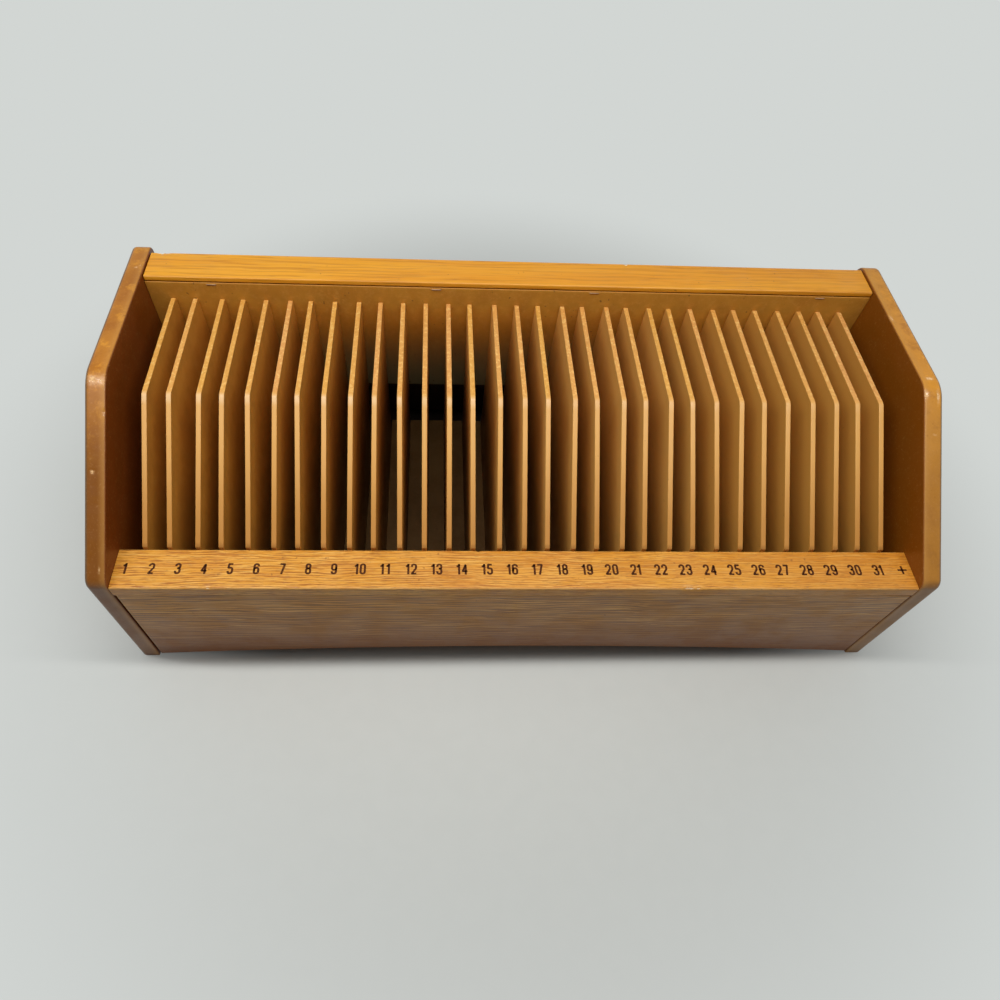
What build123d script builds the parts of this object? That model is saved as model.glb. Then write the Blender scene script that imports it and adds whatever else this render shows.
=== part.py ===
from build123d import *
from math import atan, cos, sin
import os

# Wooden bill organizer: thirty-one thin dividers stand between two shaped side panels and make
# thirty-two slots. Millimetres. The origin is on the table under the middle of the organizer,
# +X runs to the right along the number rail, +Y to the back and +Z up.

os.makedirs("parts", exist_ok=True)

# Overall size
WIDTH = 410.0
DEPTH = 180.0
HEIGHT = 130.0
FRONT = -DEPTH / 2
BACK = DEPTH / 2

# Side panels
SIDE_THICKNESS = 10.0
SHOULDER_HEIGHT = 77.6
SHOULDER_DEPTH = 82.5
LOW_SHOULDER_RADIUS = 6.0
HIGH_SHOULDER_RADIUS = 20.0
REAR_TOP_RADIUS = 4.0
OUTER_ROUNDING = 2.7
INNER_EASING = 1.0
INNER_X = WIDTH / 2 - SIDE_THICKNESS
INNER_WIDTH = 2 * INNER_X

# Front panel, with a low arch along its lower edge
PANEL_THICKNESS = 9.0
FRONT_FACE = FRONT + 0.2
FRONT_INSIDE = FRONT_FACE + PANEL_THICKNESS
ARCH_FOOT_HEIGHT = 2.0
ARCH_CROWN_HEIGHT = 10.0

# Number rail, glued on top of the front panel
RAIL_TOP = 74.5
RAIL_THICKNESS = 6.5
RAIL_DEPTH = 21.8
RAIL_BOTTOM = RAIL_TOP - RAIL_THICKNESS
RAIL_BACK = FRONT_FACE + RAIL_DEPTH
VENEER_EASING = 0.4

# Top strip, rebated below for the inner back panel and the rear cover
THIN_BOARD = 3.0
GLUE_GAP = 0.7
STRIP_FRONT = FRONT + 154.9
STRIP_BACK = FRONT + 175.0
STRIP_TOP = 128.6
STRIP_THICKNESS = 9.0
STRIP_BOTTOM = STRIP_TOP - STRIP_THICKNESS
FRONT_LIP = 2.6
REAR_LIP = 4.0

# Inner back panel and rear cover
INNER_PANEL_BOTTOM = 56.1
INNER_PANEL_TOP = STRIP_TOP - FRONT_LIP - GLUE_GAP
COVER_INSIDE = STRIP_BACK - THIN_BOARD
COVER_TOP = STRIP_TOP - REAR_LIP

# Floor board, grooved for the dividers and rebated as deep along its rear top edge
FLOOR_BOTTOM = 11.0
FLOOR_THICKNESS = 9.0
FLOOR_TOP = FLOOR_BOTTOM + FLOOR_THICKNESS
GROOVE_DEPTH = 3.0
GROOVE_WIDTH = 2.9
GROOVE_BOTTOM = FLOOR_TOP - GROOVE_DEPTH
FLOOR_REBATE_FRONT = FRONT + 159.0

# Dividers
SLOT_COUNT = 32
DIVIDER_COUNT = SLOT_COUNT - 1
SLOT_PITCH = INNER_WIDTH / SLOT_COUNT
DIVIDER_THICKNESS = 2.5
DIVIDER_TOP = 116.2
DIVIDER_SHOULDER = FRONT + 84.0
DIVIDER_SHOULDER_RADIUS = 4.0
DIVIDER_FRONT_HEIGHT = 76.0
BOARD_FIT = 0.2

# How far the top of a divider stands out of line, and the dividers that lean that far
SMALL_LEAN = 0.7
LARGE_LEAN = 1.3
LEANS_RIGHT = {SMALL_LEAN: (6, 9, 15, 16, 22), LARGE_LEAN: (3, 18, 20)}
LEANS_LEFT = {SMALL_LEAN: (2, 7, 14, 23, 24, 26, 27), LARGE_LEAN: (30, 31)}

# Dowels in the ends of the front panel, the floor board and the top strip, as (Y, Z) places
DOWEL_RADIUS = 2.5
DOWEL_IN_SIDE = 6.0
DOWEL_IN_BOARD = 10.0
FLOOR_DOWEL_HEIGHT = FLOOR_BOTTOM + 3.5
DOWEL_PLACES = (
    (FRONT_FACE + PANEL_THICKNESS / 2, 23.0),
    (FRONT_FACE + PANEL_THICKNESS / 2, 53.0),
    (FRONT + 45.0, FLOOR_DOWEL_HEIGHT),
    (FRONT + 140.0, FLOOR_DOWEL_HEIGHT),
    ((STRIP_FRONT + STRIP_BACK) / 2, STRIP_BOTTOM + STRIP_THICKNESS / 2),
)

# Wire staples, as (X, Z) places
STAPLE_CROWN = 6.0
STAPLE_WIRE = 0.9
STAPLE_PROUD = 0.4
STAPLE_LEG = 8.0
PANEL_STAPLE_HEIGHT = INNER_PANEL_TOP - 1.0
PANEL_STAPLE_PLACES = [(x, PANEL_STAPLE_HEIGHT) for x in (-161.0, -43.0, 42.0, 167.0)]
COVER_STAPLE_SPACING = 85.0
COVER_STAPLE_HEIGHTS = ((FLOOR_BOTTOM + GROOVE_BOTTOM) / 2, COVER_TOP - 2.5)
COVER_STAPLE_PLACES = [
    (step * COVER_STAPLE_SPACING, z) for z in COVER_STAPLE_HEIGHTS for step in range(-2, 3)
]


def finish(piece, label):
    """Name a finished piece and write it to its own file."""
    piece.part.label = label
    export_step(piece.part, f"parts/{label}.step")


def staple_group(face_y, heading, places):
    """Make staples whose crowns stand just proud of the face at face_y, with legs along heading."""
    crown_y = face_y - heading * STAPLE_PROUD
    inside_y = crown_y + heading * STAPLE_WIRE
    tip_y = inside_y + heading * STAPLE_LEG
    half = STAPLE_CROWN / 2
    inner_half = half - STAPLE_WIRE
    with BuildPart() as staples:
        for x, z in places:
            with BuildSketch(Plane.XY.offset(z - STAPLE_WIRE / 2)):
                with BuildLine():
                    Polyline(
                        (x - half, crown_y),
                        (x + half, crown_y),
                        (x + half, tip_y),
                        (x + inner_half, tip_y),
                        (x + inner_half, inside_y),
                        (x - inner_half, inside_y),
                        (x - inner_half, tip_y),
                        (x - half, tip_y),
                        close=True,
                    )
                make_face()
        extrude(amount=STAPLE_WIRE)
    return staples


def lean_of(number):
    """Return how far the top of a divider stands to the right of its groove."""
    for amount, numbers in LEANS_RIGHT.items():
        if number in numbers:
            return amount
    for amount, numbers in LEANS_LEFT.items():
        if number in numbers:
            return -amount
    return 0.0


# Dowels and staples come first, because the boards that they hold are drilled with them
with BuildPart() as corner_dowels:
    for dowel_y, dowel_z in DOWEL_PLACES:
        with BuildSketch(Plane.YZ.offset(INNER_X - DOWEL_IN_BOARD)):
            with Locations((dowel_y, dowel_z)):
                Circle(DOWEL_RADIUS)
    extrude(amount=DOWEL_IN_BOARD + DOWEL_IN_SIDE)
    mirror(about=Plane.YZ)
finish(corner_dowels, "corner_dowels")

back_panel_staples = staple_group(STRIP_FRONT, 1, PANEL_STAPLE_PLACES)
finish(back_panel_staples, "back_panel_staples")

rear_cover_staples = staple_group(STRIP_BACK, -1, COVER_STAPLE_PLACES)
finish(rear_cover_staples, "rear_cover_staples")

# Side panels: one outline with square feet, rounded over along its outer face and eased along its
# inner face
with BuildPart() as right_side_panel:
    with BuildSketch(Plane.YZ.offset(INNER_X)):
        with BuildLine():
            FilletPolyline(
                (FRONT, 0),
                (FRONT, SHOULDER_HEIGHT),
                (FRONT + SHOULDER_DEPTH, HEIGHT),
                (BACK, HEIGHT),
                (BACK, 0),
                radius=(0, LOW_SHOULDER_RADIUS, HIGH_SHOULDER_RADIUS, REAR_TOP_RADIUS, 0),
                close=True,
            )
        make_face()
    extrude(amount=SIDE_THICKNESS)
    fillet(right_side_panel.faces().sort_by(Axis.X)[-1].edges(), OUTER_ROUNDING)
    fillet(right_side_panel.faces().sort_by(Axis.X)[0].edges(), INNER_EASING)
    add(corner_dowels.part, mode=Mode.SUBTRACT)
finish(right_side_panel, "right_side_panel")

with BuildPart() as left_side_panel:
    add(mirror(right_side_panel.part, about=Plane.YZ))
finish(left_side_panel, "left_side_panel")

# Front panel: an upright board with a low arch under it
with BuildPart() as front_panel:
    with BuildSketch(Plane.XZ.offset(-FRONT_FACE)):
        with BuildLine():
            ThreePointArc(
                (-INNER_X, ARCH_FOOT_HEIGHT),
                (0, ARCH_CROWN_HEIGHT),
                (INNER_X, ARCH_FOOT_HEIGHT),
            )
            Polyline(
                (INNER_X, ARCH_FOOT_HEIGHT),
                (INNER_X, RAIL_BOTTOM),
                (-INNER_X, RAIL_BOTTOM),
                (-INNER_X, ARCH_FOOT_HEIGHT),
            )
        make_face()
    extrude(amount=-PANEL_THICKNESS)
    add(corner_dowels.part, mode=Mode.SUBTRACT)
finish(front_panel, "front_panel")

# Number rail: a flat strip that caps the front panel
with BuildPart() as number_rail:
    with BuildSketch(Plane.YZ.offset(-INNER_X)):
        with BuildLine():
            FilletPolyline(
                (FRONT_FACE, RAIL_BOTTOM),
                (FRONT_FACE, RAIL_TOP),
                (RAIL_BACK, RAIL_TOP),
                (RAIL_BACK, RAIL_BOTTOM),
                radius=(0, VENEER_EASING, VENEER_EASING, 0),
                close=True,
            )
        make_face()
    extrude(amount=INNER_WIDTH)
finish(number_rail, "number_rail")

# Top strip: its two lower rebates take the inner back panel and the rear cover
with BuildPart() as top_strip:
    with BuildSketch(Plane.YZ.offset(-INNER_X)):
        with BuildLine():
            FilletPolyline(
                (STRIP_FRONT, STRIP_TOP - FRONT_LIP),
                (STRIP_FRONT, STRIP_TOP),
                (STRIP_BACK, STRIP_TOP),
                (STRIP_BACK, COVER_TOP),
                (COVER_INSIDE, COVER_TOP),
                (COVER_INSIDE, STRIP_BOTTOM),
                (STRIP_FRONT + THIN_BOARD, STRIP_BOTTOM),
                (STRIP_FRONT + THIN_BOARD, STRIP_TOP - FRONT_LIP),
                radius=(0, VENEER_EASING, VENEER_EASING, 0, 0, 0, 0, 0),
                close=True,
            )
        make_face()
    extrude(amount=INNER_WIDTH)
    add(corner_dowels.part, mode=Mode.SUBTRACT)
    add(back_panel_staples.part, mode=Mode.SUBTRACT)
    add(rear_cover_staples.part, mode=Mode.SUBTRACT)
finish(top_strip, "top_strip")

# Inner back panel: hangs from the top strip and stops well above the floor board
with BuildPart() as inner_back_panel:
    with BuildSketch(Plane.YZ.offset(-INNER_X)):
        with BuildLine():
            Polyline(
                (STRIP_FRONT, INNER_PANEL_BOTTOM),
                (STRIP_FRONT, INNER_PANEL_TOP),
                (STRIP_FRONT + THIN_BOARD, INNER_PANEL_TOP),
                (STRIP_FRONT + THIN_BOARD, INNER_PANEL_BOTTOM),
                close=True,
            )
        make_face()
    extrude(amount=INNER_WIDTH)
    add(back_panel_staples.part, mode=Mode.SUBTRACT)
finish(inner_back_panel, "inner_back_panel")

# Rear cover: closes the back between the side panels
with BuildPart() as rear_cover:
    with BuildSketch(Plane.YZ.offset(-INNER_X)):
        with BuildLine():
            Polyline(
                (COVER_INSIDE, FLOOR_BOTTOM),
                (COVER_INSIDE, COVER_TOP),
                (STRIP_BACK, COVER_TOP),
                (STRIP_BACK, FLOOR_BOTTOM),
                close=True,
            )
        make_face()
    extrude(amount=INNER_WIDTH)
    add(rear_cover_staples.part, mode=Mode.SUBTRACT)
finish(rear_cover, "rear_cover")

# Floor board: sawn from front to back with a groove for each divider, with a thinner rear tongue
# that the rear cover is stapled to
with BuildPart() as floor_board:
    with BuildSketch(Plane.YZ.offset(-INNER_X)):
        with BuildLine():
            Polyline(
                (FRONT_INSIDE, FLOOR_BOTTOM),
                (FRONT_INSIDE, FLOOR_TOP),
                (FLOOR_REBATE_FRONT, FLOOR_TOP),
                (FLOOR_REBATE_FRONT, GROOVE_BOTTOM),
                (COVER_INSIDE, GROOVE_BOTTOM),
                (COVER_INSIDE, FLOOR_BOTTOM),
                close=True,
            )
        make_face()
    extrude(amount=INNER_WIDTH)
    with BuildSketch(Plane.XY.offset(FLOOR_TOP)):
        with GridLocations(SLOT_PITCH, 0, DIVIDER_COUNT, 1):
            Rectangle(GROOVE_WIDTH, DEPTH)
    extrude(amount=-GROOVE_DEPTH, mode=Mode.SUBTRACT)
    add(corner_dowels.part, mode=Mode.SUBTRACT)
    add(rear_cover_staples.part, mode=Mode.SUBTRACT)
finish(floor_board, "floor_board")

# Dividers: each stands in its groove, runs under the number rail to the front panel, and leans a
# little to one side or stands upright
for number in range(1, DIVIDER_COUNT + 1):
    groove_x = -INNER_X + number * SLOT_PITCH
    tilt = atan(lean_of(number) / (DIVIDER_TOP - FLOOR_TOP))
    board_plane = Plane(
        origin=(groove_x, 0, FLOOR_TOP),
        x_dir=(0, 1, 0),
        z_dir=(cos(tilt), 0, -sin(tilt)),
    )
    with BuildPart() as divider:
        with BuildSketch(board_plane):
            with BuildLine():
                FilletPolyline(
                    (FRONT_INSIDE + BOARD_FIT, BOARD_FIT - GROOVE_DEPTH),
                    (FRONT_INSIDE + BOARD_FIT, RAIL_BOTTOM - BOARD_FIT - FLOOR_TOP),
                    (RAIL_BACK + BOARD_FIT, RAIL_BOTTOM - BOARD_FIT - FLOOR_TOP),
                    (RAIL_BACK + BOARD_FIT, DIVIDER_FRONT_HEIGHT - FLOOR_TOP),
                    (DIVIDER_SHOULDER, DIVIDER_TOP - FLOOR_TOP),
                    (STRIP_FRONT - BOARD_FIT, DIVIDER_TOP - FLOOR_TOP),
                    (STRIP_FRONT - BOARD_FIT, BOARD_FIT - GROOVE_DEPTH),
                    radius=(0, 0, 0, 0, DIVIDER_SHOULDER_RADIUS, 0, 0),
                    close=True,
                )
            make_face()
        extrude(amount=DIVIDER_THICKNESS / 2, both=True)
    finish(divider, f"divider_{number:02d}")
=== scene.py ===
"""The finished look of a wooden bill organizer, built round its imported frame.

Sizes are in metres. The origin is on the table under the middle of the organizer, +X runs to the
right along the number rail, +Y to the back and +Z up. Every board, staple and printed number is a
surface of two parameters: the place round a section, and how far the section has been carried.
"""

import logging
from dataclasses import dataclass, field
from enum import Enum
from typing import NamedTuple

import bpy
import numpy as np
from mathutils import Matrix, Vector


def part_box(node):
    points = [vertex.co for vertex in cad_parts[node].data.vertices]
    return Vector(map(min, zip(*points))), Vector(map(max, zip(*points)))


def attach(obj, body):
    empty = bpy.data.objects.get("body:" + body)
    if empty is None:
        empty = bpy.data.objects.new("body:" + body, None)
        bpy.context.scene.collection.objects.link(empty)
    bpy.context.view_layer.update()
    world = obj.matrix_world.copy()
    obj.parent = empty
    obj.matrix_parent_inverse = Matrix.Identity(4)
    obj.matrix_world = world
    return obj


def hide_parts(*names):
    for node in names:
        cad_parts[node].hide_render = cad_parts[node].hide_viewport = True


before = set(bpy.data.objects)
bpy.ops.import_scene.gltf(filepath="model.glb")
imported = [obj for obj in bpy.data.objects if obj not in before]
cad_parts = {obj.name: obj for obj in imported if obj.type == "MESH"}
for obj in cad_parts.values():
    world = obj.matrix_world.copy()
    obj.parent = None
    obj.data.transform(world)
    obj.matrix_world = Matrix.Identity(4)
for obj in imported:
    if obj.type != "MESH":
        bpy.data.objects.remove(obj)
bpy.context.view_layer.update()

MM = 0.001
BODY = "root"
LOG = logging.getLogger("bill_organizer")

Colour = tuple[float, float, float]
Point = tuple[float, float, float]
Corners = np.ndarray | list[tuple[float, float]]
Radii = np.ndarray | list[float] | float
Socket = bpy.types.NodeSocket
Sockets = bpy.types.bpy_prop_collection
Value = float | Socket
Paint = Colour | Socket


class Side(Enum):
    """The two ends of the organizer, as the sign of X."""

    LEFT = -1
    RIGHT = 1


class Layer(Enum):
    """Values stored at the vertices, which the finishes read."""

    EDGE = "edge"
    WEAR = "wear"
    TONE = "tone"


# Numbers and curves


def smoothstep(value: np.ndarray) -> np.ndarray:
    """Return 3 v^2 - 2 v^3 of the values, cut to 0..1 first."""
    cut = np.clip(value, 0.0, 1.0)
    return cut * cut * (3.0 - 2.0 * cut)


def ripple(points: np.ndarray, wavelength: float, seed: int) -> np.ndarray:
    """Work out a smooth random height at each point.

    The height is the sum of twelve plane waves, sin(k . p + phase), over the root of six. Each k
    points in a random direction and is 2 pi / wavelength long, times 0.6 to 1.6.

    Args:
        points: places, shape (n, 3).
        wavelength: the usual distance between two crests.
        seed: names the set of waves.

    Returns:
        Heights of about -1 to 1, shape (n,).
    """
    waves, long, short = 12, 0.6, 1.6
    draw = np.random.default_rng(seed)
    directions = draw.normal(size=(waves, 3))
    directions /= np.linalg.norm(directions, axis=1)[:, None]
    lengths = 2.0 * np.pi / wavelength * draw.uniform(long, short, waves)
    phases = draw.uniform(0.0, 2.0 * np.pi, waves)
    heights = np.sin(points @ (directions * lengths[:, None]).T + phases).sum(axis=1)
    return heights / np.sqrt(waves / 2)


@dataclass(frozen=True)
class Path:
    """A line in a plane: its points and the unit normals on its right-hand side."""

    points: np.ndarray
    normals: np.ndarray


def rounded_path(
    corners: Corners, radii: Radii, step: float, closed: bool = True, clear: float = 0.0
) -> Path:
    """Lay a line through corners whose turns are arcs.

    At a corner that turns by a, the arc of radius r begins and ends r tan(a / 2) from the corner.
    Between arcs the line is straight. Runs are divided into equal spans of at most step, and arcs
    into equal spans of at most step or twelve degrees. A mitred corner is a single point, with a
    plain stretch of the length clear on each side; its normal is (n1 + n2) / (1 + n1 . n2), which
    reaches a line drawn in by one from both sides.

    Args:
        corners: places in the plane, in order; a closed line that turns left has its normals
            pointing outwards.
        radii: one radius for each corner, or one for all.
        step: the longest span.
        closed: whether the last corner joins the first.
        clear: where over 0, the corners of radius 0 are mitred.

    Returns:
        The points and normals along the line.
    """
    most_turn = np.radians(12.0)
    corners = np.asarray(corners, float)
    radii = np.broadcast_to(np.asarray(radii, float), len(corners))
    runs = np.roll(corners, -1, axis=0) - corners
    ahead = runs / np.linalg.norm(runs, axis=1)[:, None]
    behind = np.roll(ahead, 1, axis=0)
    if not closed:
        behind[0] = ahead[0]
        ahead[-1] = behind[-1]
    crossed = behind[:, 0] * ahead[:, 1] - behind[:, 1] * ahead[:, 0]
    turns = np.arctan2(crossed, (behind * ahead).sum(axis=1))
    mitred = (radii == 0.0) & (clear > 0.0)
    reach = np.where(mitred, clear, radii * np.tan(np.abs(turns) / 2.0))
    points, normals = [], []
    for i, turn in enumerate(turns):
        side = np.array([behind[i, 1], -behind[i, 0]])
        if mitred[i]:
            next_side = np.array([ahead[i, 1], -ahead[i, 0]])
            beside = [corners[i] - behind[i] * clear, corners[i], corners[i] + ahead[i] * clear]
            points.append(np.stack(beside))
            mitre = (side + next_side) / (1.0 + side @ next_side)
            normals.append(np.stack([side, mitre, next_side]))
        else:
            spans = int(np.ceil(max(abs(turn) / most_turn, abs(turn) * radii[i] / step)))
            angles = np.linspace(0.0, turn, spans + 1)[:, None]
            turned = np.cos(angles) * side + np.sin(angles) * np.array([-side[1], side[0]])
            centre = corners[i] - behind[i] * reach[i] - np.sign(turn) * radii[i] * side
            points.append(centre + np.sign(turn) * radii[i] * turned)
            normals.append(turned)
        if not closed and i == len(turns) - 1:
            break
        after = (i + 1) % len(turns)
        start = corners[i] + ahead[i] * reach[i]
        run = corners[after] - ahead[i] * reach[after] - start
        spans = max(1, int(np.ceil(np.linalg.norm(run) / step)))
        shares = np.arange(1, spans)[:, None] / spans
        points.append(start + shares * run)
        normals.append(np.repeat([[ahead[i, 1], -ahead[i, 0]]], spans - 1, axis=0))
    return Path(np.concatenate(points), np.concatenate(normals))


# Surfaces


@dataclass(frozen=True)
class Chip:
    """A knock or scuff: its middle, its reach along X, Y and Z, its depth and how bare it is."""

    place: Point
    reach: Point
    depth: float
    bare: float = 1.0


def knocks(*rows: tuple) -> tuple[Chip, ...]:
    """Make chips from rows of numbers.

    Args:
        rows: for each chip its place, reach, depth and, where it isn't 1, how bare it is, with the
            lengths in millimetres.

    Returns:
        The chips.
    """
    return tuple(
        Chip(tuple(at * MM for at in place), tuple(part * MM for part in reach), depth * MM, *bare)
        for place, reach, depth, *bare in rows
    )


@dataclass
class Surface:
    """A closed surface: vertices, four-sided faces, end faces and the value of the edge layer."""

    vertices: np.ndarray
    quads: np.ndarray
    caps: list[np.ndarray]
    edge: np.ndarray

    def volume(self) -> float:
        """Work out the volume inside.

        Every face is cut into triangles a, b, c from its first corner, and the volume is the sum
        of a . (b x c) / 6.

        Returns:
            The volume, negative where the faces point inwards.
        """
        fans = [self.quads[:, [0, 1, 2]], self.quads[:, [0, 2, 3]]]
        for cap in self.caps:
            first = np.full(len(cap) - 2, cap[0])
            fans.append(np.stack([first, cap[1:-1], cap[2:]], axis=1))
        a, b, c = np.moveaxis(self.vertices[np.concatenate(fans)], 1, 0)
        return float(np.einsum("ij,ij->", a, np.cross(b, c)) / 6.0)


def loft(sections: np.ndarray, ring: bool = False, edge: np.ndarray | None = None) -> Surface:
    """Join closed sections in order.

    Vertex (i, j) is point j of section i. Each face has the corners (i, j), (i, j + 1),
    (i + 1, j + 1) and (i + 1, j), with j taken round the section. The faces are turned over where
    the volume comes out negative, so that they point outwards.

    Args:
        sections: shape (sections, points round each, 3).
        ring: joins the last section to the first; otherwise one face closes each end.
        edge: the edge layer's value at each vertex, shape (sections, points round each).

    Returns:
        The closed surface.
    """
    count, around = sections.shape[:2]
    rows = np.arange(count if ring else count - 1)[:, None]
    columns = np.arange(around)[None, :]
    beside = (columns + 1) % around
    low = rows * around
    high = (rows + 1) % count * around
    quads = np.stack([low + columns, low + beside, high + beside, high + columns], axis=-1)
    ends = [] if ring else [columns[0, ::-1], (count - 1) * around + columns[0]]
    values = np.zeros((count, around)) if edge is None else edge
    made = Surface(sections.reshape(-1, 3), quads.reshape(-1, 4), ends, values.ravel())
    if made.volume() < 0.0:
        made.quads = made.quads[:, ::-1]
        made.caps = [cap[::-1] for cap in made.caps]
    return made


def joined(surfaces: list[Surface]) -> Surface:
    """Make one surface of several, with each one's vertices numbered after the last one's.

    Args:
        surfaces: the surfaces.

    Returns:
        The surface that holds them all.
    """
    starts = np.cumsum([0] + [len(surface.vertices) for surface in surfaces])
    pairs = list(zip(surfaces, starts))
    return Surface(
        np.concatenate([surface.vertices for surface in surfaces]),
        np.concatenate([surface.quads + start for surface, start in pairs]),
        [cap + start for surface, start in pairs for cap in surface.caps],
        np.concatenate([surface.edge for surface in surfaces]),
    )


def slab_rings(
    outline: Path, thickness: float, low: float, high: float, centre: tuple[float, float]
) -> tuple[np.ndarray, np.ndarray, np.ndarray]:
    """Wrap a board's outline from the middle of one face, over the rim, to the middle of the other.

    Ring t of the rim is outline - inset(t) normal at height(t), where inset and height run round
    two quarter circles. The rings on a face are the first or last ring of the rim, shrunk towards
    centre.

    Args:
        outline: the board's outline in its own plane.
        thickness: the board's thickness.
        low: the rounding radius of the rim at height 0.
        high: the rounding radius of the rim at the full thickness.
        centre: a place in the plane from which the whole outline is seen.

    Returns:
        Places in the plane (rings, points, 2), heights (rings, 1) and edge values (rings, 1).
    """
    support, rim_step = 0.35 * MM, 0.8 * MM
    shrink = np.array([0.08, 0.3, 0.5, 0.7, 0.85, 0.95])[:, None, None]
    corners = [(low + support, 0.0), (0.0, 0.0), (0.0, thickness), (high + support, thickness)]
    rim = rounded_path(corners, [0.0, low, high, 0.0], rim_step, closed=False)
    inset = rim.points[:, 0][:, None, None]
    rings = outline.points - inset * outline.normals
    middle = np.asarray(centre, float)
    face_low = middle + shrink * (rings[0] - middle)
    face_high = middle + shrink[::-1] * (rings[-1] - middle)
    plane = np.concatenate([face_low, rings, face_high])
    flat = np.zeros(len(shrink))
    height = np.concatenate([flat, rim.points[:, 1], flat + thickness])
    edge = np.concatenate([flat, np.abs(rim.normals[:, 0]), flat])
    return plane, height[:, None], edge[:, None]


def carried(
    profile: Path, start: float, end: float, step: float, easing: float
) -> tuple[np.ndarray, np.ndarray]:
    """Carry a section along X, with its two ends eased.

    Station i holds the section at X = x(i), drawn in by easing at the two end stations.

    Args:
        profile: the section's closed outline as (Y, Z).
        start: X of the left end.
        end: X of the right end.
        step: the longest distance between stations.
        easing: how far the edges of the two ends are rounded.

    Returns:
        Sections of shape (stations, points, 3) and the edge layer's values.
    """
    count = int(np.ceil((end - start - 2.0 * easing) / step)) + 1
    inner = np.linspace(start + easing, end - easing, count)
    stations = np.concatenate([[start], inner, [end]])
    inset = np.zeros(len(stations))
    inset[[0, -1]] = easing
    flat = profile.points[None] - inset[:, None, None] * profile.normals[None]
    x = np.broadcast_to(stations[:, None, None], (len(stations), len(profile.points), 1))
    corner = np.minimum(*np.moveaxis(np.abs(profile.normals), 1, 0)) * np.sqrt(2.0)
    edge = np.broadcast_to(corner, (len(stations), len(corner)))
    return np.concatenate([x, flat], axis=2), edge


def tube(path: Path, across: float, deep: float, lift: float, closed: bool, sides: int) -> Surface:
    """Carry a flattened round section along a line in the plane.

    Point j of a section is path + across cos(a) normal + (lift + deep sin(a)) Z, where a is
    2 pi (j + 1/2) / sides.

    Args:
        path: the line in X and Y.
        across: half the section's size along the line's normals.
        deep: half the section's size along Z.
        lift: Z of the middle of the section.
        closed: whether the line closes on itself.
        sides: points round a section; four make a flat ribbon with square edges.

    Returns:
        The closed surface.
    """
    angles = 2.0 * np.pi * (np.arange(sides) + 0.5) / sides
    sideways = across * np.cos(angles)[None, :, None]
    flat = path.points[:, None] + sideways * path.normals[:, None]
    height = np.broadcast_to((lift + deep * np.sin(angles))[None, :, None], flat.shape[:2] + (1,))
    return loft(np.concatenate([flat, height], axis=2), ring=closed)


# Node graphs


class Fade(NamedTuple):
    """A smooth change: while a value goes from start to end, a share goes from low to high."""

    start: float
    end: float
    low: float = 0.0
    high: float = 1.0


class Graph:
    """Adds nodes to one tree and links them."""

    def __init__(self, tree: bpy.types.NodeTree) -> None:
        """Take the tree that the nodes go into."""
        self.tree = tree

    def add(self, kind: str, inputs: dict | None = None, **settings: object) -> bpy.types.Node:
        """Add a node.

        Args:
            kind: the node's type name.
            inputs: for each input's name or number, a value or the output that feeds it.
            settings: properties of the node itself.

        Returns:
            The new node.
        """
        node = self.tree.nodes.new(kind)
        for name, value in settings.items():
            setattr(node, name, value)
        for name, value in (inputs or {}).items():
            if isinstance(value, Socket):
                self.tree.links.new(value, node.inputs[name])
            else:
                node.inputs[name].default_value = value
        return node

    def math(self, operation: str, first: Value, second: Value = 0.0) -> Socket:
        """Return the result of one arithmetic step."""
        return self.add("ShaderNodeMath", {0: first, 1: second}, operation=operation).outputs[0]

    def times(self, first: Value, second: Value) -> Socket:
        """Return the product of two numbers."""
        return self.math("MULTIPLY", first, second)

    def scaled(self, vector: Socket, factors: Point) -> Socket:
        """Return the vector times the factors, one for each axis."""
        inputs = {0: vector, 1: factors}
        return self.add("ShaderNodeVectorMath", inputs, operation="MULTIPLY").outputs[0]

    def split(self, vector: Socket) -> Sockets:
        """Return the X, Y and Z of a vector."""
        return self.add("ShaderNodeSeparateXYZ", {0: vector}).outputs

    def noise(
        self, vector: Socket, scale: float = 1.0, detail: float = 2.0, roughness: float = 0.5
    ) -> Socket:
        """Return fractal noise of 0 to 1 round 0.5, finer as its scale grows."""
        inputs = {"Vector": vector, "Scale": scale, "Detail": detail, "Roughness": roughness}
        return self.add("ShaderNodeTexNoise", inputs).outputs[0]

    def fade(self, value: Socket, fade: Fade) -> Socket:
        """Return the share that the fade gives at the value."""
        inputs = dict(enumerate((value, *fade)))
        return self.add("ShaderNodeMapRange", inputs, interpolation_type="SMOOTHSTEP").outputs[0]

    def over(self, colour: Paint, *coats: tuple[Value, Paint]) -> Socket:
        """Lay coats of colour over each other.

        Args:
            colour: what lies underneath.
            coats: the share and the colour of each coat, from the lowest up.

        Returns:
            The colour that shows.
        """
        for share, coat in coats:
            inputs = {0: share, 6: rgba(colour), 7: rgba(coat)}
            colour = self.add("ShaderNodeMix", inputs, data_type="RGBA").outputs[2]
        return colour

    def layer(self, layer: Layer) -> Socket:
        """Return a layer stored at the vertices."""
        return self.add("ShaderNodeAttribute", attribute_name=layer.value).outputs["Fac"]

    def place(self) -> Socket:
        """Return the object's own coordinates, in metres."""
        return self.add("ShaderNodeTexCoord").outputs["Object"]

    def facing(self) -> Socket:
        """Return the object's own surface normal."""
        return self.add("ShaderNodeTexCoord").outputs["Normal"]

    def group(self, tree: bpy.types.NodeTree, inputs: dict) -> Sockets:
        """Place a group and return its outputs."""
        return self.add("ShaderNodeGroup", inputs, node_tree=tree).outputs


def rgba(colour: Paint) -> Socket | tuple[float, ...]:
    """Return a colour with its alpha added, or the socket that gives it as it is."""
    return colour if isinstance(colour, Socket) else (*colour, 1.0)


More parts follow.
